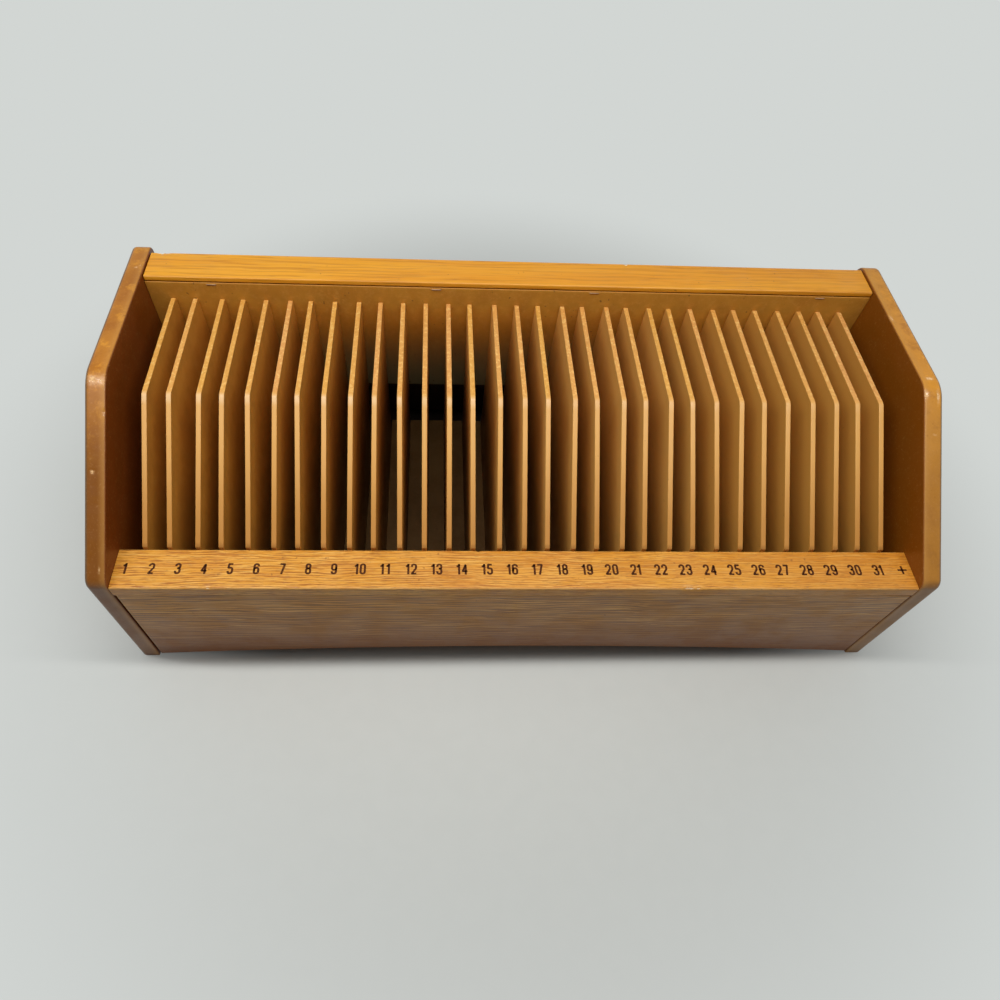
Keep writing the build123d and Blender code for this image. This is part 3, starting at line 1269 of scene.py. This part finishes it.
@dataclass
class SidePanel:
    """A shaped side panel: slanted at the front, rounded over outside and eased inside.

    Its faces spread from hub, given as shares of its depth and height.
    """

    side: Side
    shoulder_height: float = 77.6 * MM
    shoulder_depth: float = 82.5 * MM
    low_radius: float = 6.0 * MM
    high_radius: float = 20.0 * MM
    rear_radius: float = 4.0 * MM
    worn_radius: float = 7.5 * MM
    foot_clear: float = 4.0 * MM
    outer_rounding: float = 2.7 * MM
    inner_easing: float = 1.0 * MM
    step: float = 0.9 * MM
    hub: tuple[float, float] = (0.75, 0.45)
    right_tone: float = 0.65

    def chips(self) -> tuple[Chip, ...]:
        """List the knocks along the panel's rim, and on the left a wide pale band that is partly a
        painted highlight.

        Returns:
            The chips of this side.
        """
        if self.side is Side.LEFT:
            return knocks(
                # a wide, faint pale band across the high shoulder: partly worn finish, partly a
                # painted highlight
                ((-199.4, -10.1, 128.4), (7.5, 4.8, 3.0), 0.06, 0.38),
                ((-200.9, -9.6, 128.5), (2.2, 1.6, 1.6), 0.15, 0.72),
                ((-197.0, -10.2, 128.4), (1.7, 1.5, 1.5), 0.15, 0.72),
                ((-199.6, -11.6, 127.9), (1.5, 1.2, 1.2), 0.10, 0.6),
                ((-198.6, 70.1, 130.0), (1.2, 1.0, 1.2), 0.25, 0.7),
                ((-197.0, 72.0, 130.0), (0.9, 0.8, 0.9), 0.2, 0.7),
                ((-200.9, -45.9, 105.6), (1.4, 1.1, 1.1), 0.15, 0.8),
                ((-195.0, -22.6, 120.4), (1.3, 1.2, 1.2), 0.30, 0.0),
                ((-197.7, -84.0, 81.3), (0.5, 2.6, 2.0), 0.08, 0.6),
            )
        return knocks(
            ((199.6, -2.0, 130.0), (2.8, 1.4, 1.4), 0.15, 0.80),
            ((196.0, -10.8, 127.9), (1.2, 2.2, 1.7), 0.25, 0.95),
            ((201.9, -11.5, 127.2), (1.1, 6.6, 4.4), 0.15, 0.66),
            ((200.2, -27.5, 117.3), (1.6, 0.8, 0.8), 0.10, 0.55),
            ((196.2, 43.0, 130.0), (1.5, 4.0, 1.4), 0.20, 0.55),
            ((200.4, 87.4, 129.0), (4.2, 1.6, 1.6), 0.20, 0.60),
        )

    def build(self, material: bpy.types.Material) -> bpy.types.Object:
        """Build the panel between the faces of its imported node.

        Args:
            material: the stained finish.

        Returns:
            The panel.
        """
        node = f"{self.side.name.lower()}_side_panel"
        low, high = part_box(node)
        front, back, top = low.y, high.y, high.z
        corners = [
            (front, low.z),
            (back, low.z),
            (back, top),
            (front + self.shoulder_depth, top),
            (front, self.shoulder_height),
        ]
        rear = self.worn_radius if self.side is Side.RIGHT else self.rear_radius
        radii = [0.0, 0.0, rear, self.high_radius, self.low_radius]
        outline = rounded_path(corners, radii, self.step, clear=self.foot_clear)
        centre = (front + self.hub[0] * (back - front), self.hub[1] * top)
        thickness = high.x - low.x
        plane, height, edge = slab_rings(
            outline, thickness, self.inner_easing, self.outer_rounding, centre
        )
        inside = high.x if self.side is Side.LEFT else low.x
        x = np.broadcast_to(inside + self.side.value * height, plane.shape[:2])
        sections = np.concatenate([x[:, :, None], plane], axis=2)
        name = f"stained_{self.side.name.lower()}_side"
        # the right panel's tone lightens it, partly as painted light, and picks its painted sheen
        # and shades
        tone = self.right_tone if self.side is Side.RIGHT else 0.0
        piece = Piece(name, material, (node,), "stained_side", self.chips(), tone)
        return piece.make(loft(sections, edge=np.broadcast_to(edge, plane.shape[:2])))


@dataclass
class Front:
    """The front panel with its arched lower edge, and the number rail on top of it."""

    arch_rise: float = 8.0 * MM
    joint_left: float = 1.10 * MM
    joint_right: float = 0.45 * MM
    open_joint: float = 0.80 * MM
    open_length: float = 20.0 * MM
    panel_easing: float = 0.25 * MM
    panel_span: float = 2.5 * MM
    rail_gap: float = 0.08 * MM
    rail_end: float = 0.1 * MM
    rail_low_radius: float = 0.15 * MM
    rail_easing: float = 0.85 * MM
    rail_span: float = 2.0 * MM
    step: float = 1.0 * MM

    def build_panel(self, material: bpy.types.Material) -> bpy.types.Object:
        """Build the front panel.

        The section is a rectangle. At X = x its lower edge rises by rise (1 - (x / half)^2), and
        its upper edge sinks near the right end, where the joint under the rail has opened.

        Args:
            material: the veneer of the panel.

        Returns:
            The panel.
        """
        low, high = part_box("front_panel")
        corners = [(low.y, low.z), (high.y, low.z), (high.y, high.z), (low.y, high.z)]
        profile = rounded_path(corners, self.panel_easing, self.panel_span)
        start, end = low.x + self.joint_left, high.x - self.joint_right
        sections, edge = carried(profile, start, end, self.step, self.panel_easing)
        across = sections[:, :, 0] / high.x
        up = (sections[:, :, 2] - low.z) / (high.z - low.z)
        opened = smoothstep((sections[:, :, 0] - (end - self.open_length)) / self.open_length)
        rise = self.arch_rise * (1.0 - across**2) * (1.0 - up)
        sections[:, :, 2] += rise - self.open_joint * opened * up
        piece = Piece("veneered_front", material, ("front_panel",), "oak_veneer")
        return piece.make(loft(sections, edge=edge))

    def build_rail(self, material: bpy.types.Material) -> bpy.types.Object:
        """Build the number rail, chipped along its front edge.

        Args:
            material: the veneer of the rail.

        Returns:
            The rail.
        """
        low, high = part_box("number_rail")
        corners = [(low.y, low.z), (high.y, low.z), (high.y, high.z), (low.y, high.z)]
        radii = [self.rail_low_radius] * 2 + [self.rail_easing] * 2
        profile = rounded_path(corners, radii, self.rail_span)
        start, end = low.x + self.rail_gap, high.x - self.rail_gap
        sections, edge = carried(profile, start, end, self.step, self.rail_end)
        front, back, top = low.y / MM, high.y / MM, high.z / MM
        chips = knocks(
            ((-149.7, front, top), (1.7, 0.9, 0.9), 0.3),
            ((-62.0, front, top), (1.2, 0.7, 0.7), 0.2),
            ((79.5, front, top), (3.6, 1.4, 1.2), 0.40),
            ((84.5, front, top), (1.8, 1.0, 0.9), 0.25),
            ((150.5, -71.5, top), (0.9, 0.6, 0.6), 0.1),
            ((-22.3, back, top), (0.8, 1.2, 1.5), 0.5, 0.0),
        )
        piece = Piece("veneered_rail", material, ("number_rail",), "oak_veneer", chips)
        return piece.make(loft(sections, edge=edge))


@dataclass
class Numbers:
    """The numbers 1 to 31 and a plus sign, printed along the rail, one for each slot.

    first is X of the number 1 and middle how far behind the rail's front edge the numbers stand.
    Digits are spacing apart, or slim_spacing in a number that has a 1.
    """

    first: float = -189.75 * MM
    pitch: float = 12.25 * MM
    middle: float = 10.95 * MM
    height: float = 6.2 * MM
    width: float = 3.0 * MM
    weight: float = 1.04 * MM
    spacing: float = 3.55 * MM
    slim_spacing: float = 2.9 * MM
    plus_size: float = 4.7 * MM
    plus_step: float = 1.0 * MM
    roundness: float = 0.48
    step: float = 0.6 * MM
    ink_depth: float = 0.03 * MM

    def strokes(self) -> dict[str, list]:
        """Draw each digit as strokes.

        u runs from 0 to 1 across the middle lines of a digit, v from 0 to 1 up them, and a
        roundness of 1 is an arc of nearly half the digit's width.

        Returns:
            For each digit its strokes: whether one closes, and its corners (u, v, roundness).
        """
        six = [
            (True, [(0, 0, 1), (1, 0, 1), (1, 0.60, 1), (0, 0.60, 1)]),
            (False, [(0, 0.30, 0), (0, 1, 1), (1, 1, 1), (1, 0.76, 0)]),
        ]
        return {
            "0": [(True, [(0, 0, 1), (1, 0, 1), (1, 1, 1), (0, 1, 1)])],
            "1": [
                (False, [(0.62, -0.08, 0), (0.62, 1.08, 0)]),
                (False, [(0.72, 0.97, 0), (0.02, 0.76, 0)]),
            ],
            "2": [(False, [
                (0, 0.73, 0), (0, 1, 1), (1, 1, 1), (1, 0.58, 1), (0, 0, 0.1), (1.12, 0, 0),
            ])],
            "3": [
                (False, [(0, 0.75, 0), (0, 1, 1), (1, 1, 1), (1, 0.54, 0.9), (0.36, 0.54, 0)]),
                (False, [(0.36, 0.54, 0), (1, 0.54, 0.9), (1, 0, 1), (0, 0, 1), (0, 0.27, 0)]),
            ],
            "4": [(False, [(0.76, -0.08, 0), (0.76, 1, 0.1), (0, 0.27, 0.1), (1.18, 0.27, 0)])],
            "5": [(False, [
                (1.05, 1, 0), (0.1, 1, 0.1), (0.03, 0.60, 0.15), (1, 0.60, 1), (1, 0, 1), (0, 0, 1),
                (0, 0.25, 0),
            ])],
            "6": six,
            "7": [(False, [(-0.1, 1, 0), (1, 1, 0.15), (0.36, -0.08, 0)])],
            "8": [
                (True, [(0, 0, 1), (1, 0, 1), (1, 0.54, 1), (0, 0.54, 1)]),
                (True, [(0.04, 0.54, 0.95), (0.96, 0.54, 0.95), (0.96, 1, 0.95), (0.04, 1, 0.95)]),
            ],
            "9": [(shut, [(1 - u, 1 - v, bend) for u, v, bend in line]) for shut, line in six],
        }

    def digit(self, strokes: list, x: float, y: float, z: float) -> list[Surface]:
        """Lay one digit's strokes as flat ribbons.

        Args:
            strokes: the digit's strokes.
            x: X of the digit's middle.
            y: Y of the digit's middle.
            z: the height that the ink lies on.

        Returns:
            One closed ribbon for each stroke.
        """
        across, up = self.width - self.weight, self.height - self.weight
        ribbons = []
        for shut, line in strokes:
            u, v, bend = np.array(line, float).T
            corners = np.stack([x + (u - 0.5) * across, y + (v - 0.5) * up], axis=1)
            path = rounded_path(corners, self.roundness * across * bend, self.step, closed=shut)
            ribbons.append(self.ribbon(path, z, shut))
        return ribbons

    def ribbon(self, path: Path, z: float, shut: bool) -> Surface:
        """Return a ribbon of ink of the digits' weight along a line."""
        across, deep = self.weight / np.sqrt(2.0), self.ink_depth / np.sqrt(2.0)
        return tube(path, across, deep, z + self.ink_depth / 2.0, closed=shut, sides=4)

    def build(self, material: bpy.types.Material, slots: int) -> bpy.types.Object:
        """Print a number over every slot but the last, and a plus sign over that.

        Args:
            material: the ink.
            slots: how many slots there are.

        Returns:
            All the numbers as one piece.
        """
        low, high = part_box("number_rail")
        y, z = low.y + self.middle, high.z - self.ink_depth / 3.0
        strokes = self.strokes()
        ribbons = []
        for number in range(1, slots):
            text = str(number)
            gap = self.slim_spacing if "1" in text else self.spacing
            for place, letter in enumerate(text):
                offset = (place - (len(text) - 1) / 2.0) * gap
                x = self.first + (number - 1) * self.pitch + offset
                ribbons += self.digit(strokes[letter], x, y, z)
        x = self.first + (slots - 1) * self.pitch
        half = self.plus_size / 2.0
        for reach in ((half, 0.0), (0.0, half)):
            ends = [(x - reach[0], y - reach[1]), (x + reach[0], y + reach[1])]
            path = rounded_path(ends, 0.0, self.plus_step, closed=False)
            ribbons.append(self.ribbon(path, z, False))
        return Piece("rail_numbers", material).make(joined(ribbons))


@dataclass
class Back:
    """The top strip, the inner back panel, the rear cover and the staples that hold them."""

    strip_easing: float = 0.8 * MM
    strip_gap: float = 0.45 * MM
    strip_end: float = 0.15 * MM
    strip_span: float = 2.0 * MM
    strip_step: float = 1.0 * MM
    rebate_radius: float = 0.3 * MM
    front_lip: float = 2.6 * MM
    board_easing: float = 0.4 * MM
    board_gap: float = 0.05 * MM
    board_end: float = 0.2 * MM
    board_step: float = 2.5 * MM
    crown: float = 6.0 * MM
    wire: float = 0.9 * MM
    wire_flat: float = 0.8
    wire_step: float = 1.5 * MM
    wire_sides: int = 12
    bend: float = 0.7 * MM
    panel_staples: tuple[float, ...] = (-161.0 * MM, -43.0 * MM, 42.0 * MM, 167.0 * MM)
    cover_spacing: float = 85.0 * MM
    cover_columns: int = 5

    def build_strip(self, material: bpy.types.Material) -> bpy.types.Object:
        """Build the top strip, with the rebates under it for the two thin boards.

        Args:
            material: the veneer of the strip.

        Returns:
            The strip.
        """
        low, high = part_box("top_strip")
        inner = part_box("inner_back_panel")[1].y
        cover_low, cover_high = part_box("rear_cover")
        corners = [
            (low.y, high.z - self.front_lip),
            (inner, high.z - self.front_lip),
            (inner, low.z),
            (cover_low.y, low.z),
            (cover_low.y, cover_high.z),
            (high.y, cover_high.z),
            (high.y, high.z),
            (low.y, high.z),
        ]
        radii = [self.rebate_radius] * 6 + [self.strip_easing] * 2
        profile = rounded_path(corners, radii, self.strip_span)
        start, end = low.x + self.strip_gap, high.x - self.strip_gap
        sections, edge = carried(profile, start, end, self.strip_step, self.strip_end)
        back, top = high.y / MM, high.z / MM
        chips = knocks(
            ((-189.6, back, top), (3.0, 1.6, 1.2), 0.4),
            ((-186.4, back, top), (1.8, 1.1, 0.9), 0.3, 0.8),
            ((61.0, back - 0.8, top), (1.6, 0.9, 0.8), 0.1, 0.8),
            ((-171.3, 81.7, top), (1.6, 0.8, 0.6), 0.15, 0.0),
        )
        piece = Piece("veneered_top_strip", material, ("top_strip",), "oak_veneer", chips)
        return piece.make(loft(sections, edge=edge))

    def build_board(self, name: str, node: str, material: bpy.types.Material) -> bpy.types.Object:
        """Build one of the two thin boards.

        Args:
            name: the piece's name.
            node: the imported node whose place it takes.
            material: the hardboard finish.

        Returns:
            The board.
        """
        low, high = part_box(node)
        corners = [(low.y, low.z), (high.y, low.z), (high.y, high.z), (low.y, high.z)]
        profile = rounded_path(corners, self.board_easing, self.board_step)
        start, end = low.x + self.board_gap, high.x - self.board_gap
        sections, edge = carried(profile, start, end, self.board_step, self.board_end)
        return Piece(name, material, (node,), "hardboard").make(loft(sections, edge=edge))

    def staple(self, x: float, z: float, low_y: float, high_y: float, heading: int) -> Surface:
        """Bend one staple from round wire.

        Args:
            x: X of its middle.
            z: its height.
            low_y: the lowest Y that it reaches.
            high_y: the highest Y that it reaches.
            heading: the sign of Y that its legs point along.

        Returns:
            The staple.
        """
        radius = self.wire / 2.0
        crown_y = (low_y if heading > 0 else high_y) + heading * radius
        tip_y = high_y if heading > 0 else low_y
        half = self.crown / 2.0 - radius
        corners = [(x - half, tip_y), (x - half, crown_y), (x + half, crown_y), (x + half, tip_y)]
        radii = [0.0, self.bend, self.bend, 0.0]
        path = rounded_path(corners, radii, self.wire_step, closed=False)
        deep = radius * self.wire_flat
        return tube(path, radius, deep, z, closed=False, sides=self.wire_sides)

    def build_staples(self, material: bpy.types.Material) -> list[bpy.types.Object]:
        """Bend the staples of both boards, in two groups.

        Args:
            material: the wire.

        Returns:
            The staples of the inner back panel and those of the rear cover.
        """
        low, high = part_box("back_panel_staples")
        middle = (low.z + high.z) / 2.0
        panel = [self.staple(x, middle, low.y, high.y, 1) for x in self.panel_staples]
        low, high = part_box("rear_cover_staples")
        heights = (low.z + self.wire / 2.0, high.z - self.wire / 2.0)
        columns = (np.arange(self.cover_columns) - self.cover_columns // 2) * self.cover_spacing
        cover = [self.staple(x, z, low.y, high.y, -1) for z in heights for x in columns]
        groups = (
            ("back_board_staples", "back_panel_staples", panel),
            ("cover_board_staples", "rear_cover_staples", cover),
        )
        return [
            Piece(name, material, (node,), "staple_wire").make(joined(bent))
            for name, node, bent in groups
        ]


@dataclass
class SlotBoards:
    """The thirty-one dividers: thin boards with a slanted front, each with its own lean and bow.

    The faces of each spread from the share hub of its height.
    """

    count: int = 31
    thickness: float = 2.5 * MM
    shoulder_y: float = -6.0 * MM
    front_height: float = 76.0 * MM
    shoulder_radius: float = 4.5 * MM
    corner_radius: float = 0.3 * MM
    tip_radius: float = 1.3 * MM
    edge_easing: float = 0.4 * MM
    groove_depth: float = 2.8 * MM
    fit: float = 0.2 * MM
    step: float = 3.0 * MM
    hub: float = 0.46
    bow: float = 0.35 * MM
    seed: int = 31

    def outline(self, floor_top: float, top: float) -> Path:
        """Draw a divider's outline.

        Args:
            floor_top: the height of the floor board's top, from which heights are measured.
            top: the height of the divider's top edge.

        Returns:
            The outline, in Y and in height above the floor board.
        """
        rail_low, rail_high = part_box("number_rail")
        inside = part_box("front_panel")[1].y + self.fit
        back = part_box("top_strip")[0].y - self.fit
        notch_y = rail_high.y + self.fit
        notch_z = rail_low.z - self.fit
        corners = [
            (inside, floor_top - self.groove_depth),
            (back, floor_top - self.groove_depth),
            (back, top),
            (self.shoulder_y, top),
            (notch_y, self.front_height),
            (notch_y, notch_z),
            (inside, notch_z),
        ]
        radii = [self.corner_radius] * len(corners)
        radii[2] = self.tip_radius
        radii[3] = self.shoulder_radius
        path = rounded_path(corners, radii, self.step)
        return Path(path.points - np.array([0.0, floor_top]), path.normals)

    def build(self, material: bpy.types.Material) -> list[bpy.types.Object]:
        """Build every divider in its groove.

        A point at (y, h, t), where h is its height over the floor board and t its place through
        the thickness, goes to X = groove + h sin(lean) + t cos(lean) + bow (1 - (2 h / top - 1)^2)
        and Z = floor + h cos(lean) - t sin(lean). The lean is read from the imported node's box:
        the middle of the box stands out of line with the groove by half of what the top does.

        Args:
            material: the finish of the dividers.

        Returns:
            The dividers from left to right.
        """
        floor_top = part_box("floor_board")[1].z
        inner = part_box("number_rail")[1].x
        pitch = 2.0 * inner / (self.count + 1)
        boxes = [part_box(f"divider_{number:02d}") for number in range(1, self.count + 1)]
        top = float(np.median([high.z for low, high in boxes]))
        outline = self.outline(floor_top, top)
        rise = top - floor_top
        easing, centre = self.edge_easing, (0.0, self.hub * rise)
        plane, through, edge = slab_rings(outline, self.thickness, easing, easing, centre)
        y, height = plane[:, :, 0], plane[:, :, 1]
        offset = through - self.thickness / 2.0
        draw = np.random.default_rng(self.seed)
        made = []
        for number, (low, high) in enumerate(boxes, start=1):
            groove = -inner + number * pitch
            lean = np.arctan2((low.x + high.x) - 2.0 * groove, high.z + low.z - 2.0 * floor_top)
            bow = draw.uniform(-self.bow, self.bow)
            curve = bow * (1.0 - (2.0 * height / rise - 1.0) ** 2)
            x = groove + height * np.sin(lean) + offset * np.cos(lean) + curve
            z = floor_top + height * np.cos(lean) - offset * np.sin(lean)
            sections = np.stack([x, y, z], axis=2)
            piece = Piece(
                f"slot_board_{number:02d}",
                material,
                (f"divider_{number:02d}",),
                "divider_board",
                tone=draw.uniform(0.0, 1.0),
            )
            made.append(piece.make(loft(sections, edge=np.broadcast_to(edge, y.shape))))
        return made


# The studio


@dataclass(frozen=True)
class Viewpoint:
    """The camera: where it stands, how it is turned and how the picture is framed."""

    place: Point = (-44.02 * MM, -251.74 * MM, 361.88 * MM)
    yaw: float = 0.0949
    pitch: float = 1.0068
    roll: float = -0.0835
    focal_share: float = 0.6931
    shift_right: float = 0.0311
    shift_up: float = 0.0551
    sensor: float = 36.0
    near: float = 10.0 * MM

    def build(self) -> None:
        """Place the camera.

        Yaw turns it to the right of +Y, pitch tips it below the horizon and roll turns it about
        its own line of sight. The focal length is focal_share of the picture's width.
        """
        sight = np.array([
            np.sin(self.yaw) * np.cos(self.pitch),
            np.cos(self.yaw) * np.cos(self.pitch),
            -np.sin(self.pitch),
        ])
        level = np.array([np.cos(self.yaw), -np.sin(self.yaw), 0.0])
        down = np.cross(sight, level)
        right = np.cos(self.roll) * level + np.sin(self.roll) * down
        below = np.cos(self.roll) * down - np.sin(self.roll) * level
        data = bpy.data.cameras.new("camera")
        data.sensor_width = self.sensor
        data.lens = self.focal_share * self.sensor
        data.shift_x = self.shift_right
        data.shift_y = self.shift_up
        data.clip_start = self.near
        camera = bpy.data.objects.new("camera", data)
        turn = Matrix(np.stack([right, -below, -sight], axis=1).tolist()).to_4x4()
        camera.matrix_world = Matrix.Translation(self.place) @ turn
        bpy.context.scene.collection.objects.link(camera)
        bpy.context.scene.camera = camera


@dataclass(frozen=True)
class Studio:
    """A plain pale floor, a long strip lamp over the organizer and a soft sky that leans back.

    Where only the camera and reflections look, the floor far off and the sky have the plain floor
    colour at the strength shown.
    """

    floor_size: float = 12.0
    floor_colour: Colour = (0.70, 0.73, 0.71)
    floor_cloud: Colour = (0.66, 0.69, 0.67)
    floor_noise: float = 90.0
    clouded: Fade = Fade(0.3, 0.7, 0.0, 0.25)
    far_off: Fade = Fade(0.15, 0.38)
    shown: float = 0.92
    lamp_place: Point = (-0.085, -0.060, 0.450)
    lamp_turn: float = -0.05
    lamp_length: float = 0.87
    lamp_width: float = 0.025
    lamp_power: float = 2.03
    lamp_colour: Colour = (1.0, 0.985, 0.96)
    sky_colour: Colour = (1.0, 0.99, 0.965)
    sky_axis: Point = (0.0, 0.53, 0.85)
    sky_light: Fade = Fade(0.0, 1.0, 0.02, 0.28)
    mirrored: Fade = Fade(0.30, 0.85, 0.92, 0.20)

    def build(self) -> None:
        """Build the floor, the lamp and the sky."""
        self.build_floor()
        lamp = bpy.data.lights.new("lamp", "AREA")
        lamp.shape = "RECTANGLE"
        lamp.size = self.lamp_length
        lamp.size_y = self.lamp_width
        lamp.energy = self.lamp_power
        lamp.color = self.lamp_colour
        hung = bpy.data.objects.new("lamp", lamp)
        hung.location = self.lamp_place
        hung.rotation_euler.z = self.lamp_turn
        hung.visible_camera = False
        bpy.context.scene.collection.objects.link(hung)
        self.build_sky()

    @staticmethod
    def seen(graph: Graph) -> tuple[Socket, Socket]:
        """Tell apart the rays that look from those that only carry light.

        Args:
            graph: the graph that asks.

        Returns:
            Whether a ray comes from the camera, and whether from the camera or a reflection.
        """
        rays = graph.add("ShaderNodeLightPath").outputs
        direct = rays["Is Camera Ray"]
        return direct, graph.math("MAXIMUM", direct, rays["Is Glossy Ray"])

    def build_floor(self) -> None:
        """Lay the floor: a plain sheet that keeps the organizer's shadow and stays pale far off."""
        half = self.floor_size / 2.0
        corners = [(-half, -half, 0.0), (half, -half, 0.0), (half, half, 0.0), (-half, half, 0.0)]
        mesh = bpy.data.meshes.new("floor")
        mesh.from_pydata(corners, [], [(0, 1, 2, 3)])
        material = bpy.data.materials.new("floor_paint")
        graph = new_tree(material)
        place = graph.place()
        away = graph.add("ShaderNodeVectorMath", {0: place}, operation="LENGTH").outputs["Value"]
        share = graph.times(graph.fade(away, self.far_off), self.seen(graph)[1])
        clouds = graph.fade(graph.noise(place, self.floor_noise, detail=3.0), self.clouded)
        colour = graph.over(self.floor_colour, (clouds, self.floor_cloud))
        paint = graph.add("ShaderNodeBsdfPrincipled", {"Base Color": colour, "Roughness": 0.6})
        plain = {"Color": rgba(self.floor_colour), "Strength": self.shown}
        glow = graph.add("ShaderNodeEmission", plain)
        shaders = {0: share, 1: paint.outputs[0], 2: glow.outputs[0]}
        mixed = graph.add("ShaderNodeMixShader", shaders)
        graph.add("ShaderNodeOutputMaterial", {"Surface": mixed.outputs[0]})
        mesh.materials.append(material)
        floor = bpy.data.objects.new("floor", mesh)
        bpy.context.scene.collection.objects.link(floor)

    def build_sky(self) -> None:
        """Build the sky.

        Its light grows smoothly with the part of the direction that lies along sky_axis. Where it
        is seen, it has the floor's colour, and in reflections that fades towards the zenith.
        """
        world = bpy.data.worlds.new("sky")
        bpy.context.scene.world = world
        graph = new_tree(world)
        direction = graph.add("ShaderNodeTexCoord").outputs["Generated"]
        parts = {0: direction, 1: self.sky_axis}
        leaned = graph.add("ShaderNodeVectorMath", parts, operation="DOT_PRODUCT").outputs["Value"]
        soft = graph.fade(leaned, self.sky_light)
        direct, seen = self.seen(graph)
        mirrored = graph.fade(graph.split(direction)[2], self.mirrored)
        strength = graph.math("MAXIMUM", mirrored, graph.times(direct, self.shown))
        lit = graph.add("ShaderNodeBackground", {"Color": rgba(self.sky_colour), "Strength": soft})
        plain = {"Color": rgba(self.floor_colour), "Strength": strength}
        shown = graph.add("ShaderNodeBackground", plain)
        mixed = graph.add("ShaderNodeMixShader", {0: seen, 1: lit.outputs[0], 2: shown.outputs[0]})
        graph.add("ShaderNodeOutputWorld", {"Surface": mixed.outputs[0]})


def dress(node: str, material: bpy.types.Material) -> None:
    """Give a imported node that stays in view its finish.

    Args:
        node: the node's name.
        material: its finish.
    """
    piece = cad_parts[node]
    piece.data.materials.clear()
    piece.data.materials.append(material)
    LOG.info("%s: finish %s", node, material.name)


def main() -> None:
    """Build the studio and every piece in order."""
    logging.basicConfig(level=logging.INFO, format="%(message)s")
    bpy.context.scene.view_settings.view_transform = "Standard"
    Viewpoint().build()
    Studio().build()
    effects = Effects()

    stained = StainedBoard("stained_board").build(effects)
    for side in Side:
        SidePanel(side).build(stained)

    front = Front()
    front.build_panel(FRONT_OAK_SHADED.build(effects))
    front.build_rail(RAIL_OAK.build(effects))
    slot_boards = SlotBoards()
    Numbers().build(PrintedInk("number_ink").build(), slot_boards.count + 1)

    back = Back()
    back.build_strip(STRIP_OAK.build(effects))
    back.build_board("back_board", "inner_back_panel", HARDBOARD.build(effects))
    back.build_board("cover_board", "rear_cover", SHADED_BOARD.build(effects))
    back.build_staples(StapleWire("staple_wire").build(effects))

    slot_boards.build(SlotBoard("slot_board").build(effects))
    dress("floor_board", DUSTY_BOARD.build(effects))
    dress("corner_dowels", BareDowel("dowel_wood").build(effects))


if __name__ == "__main__":
    main()
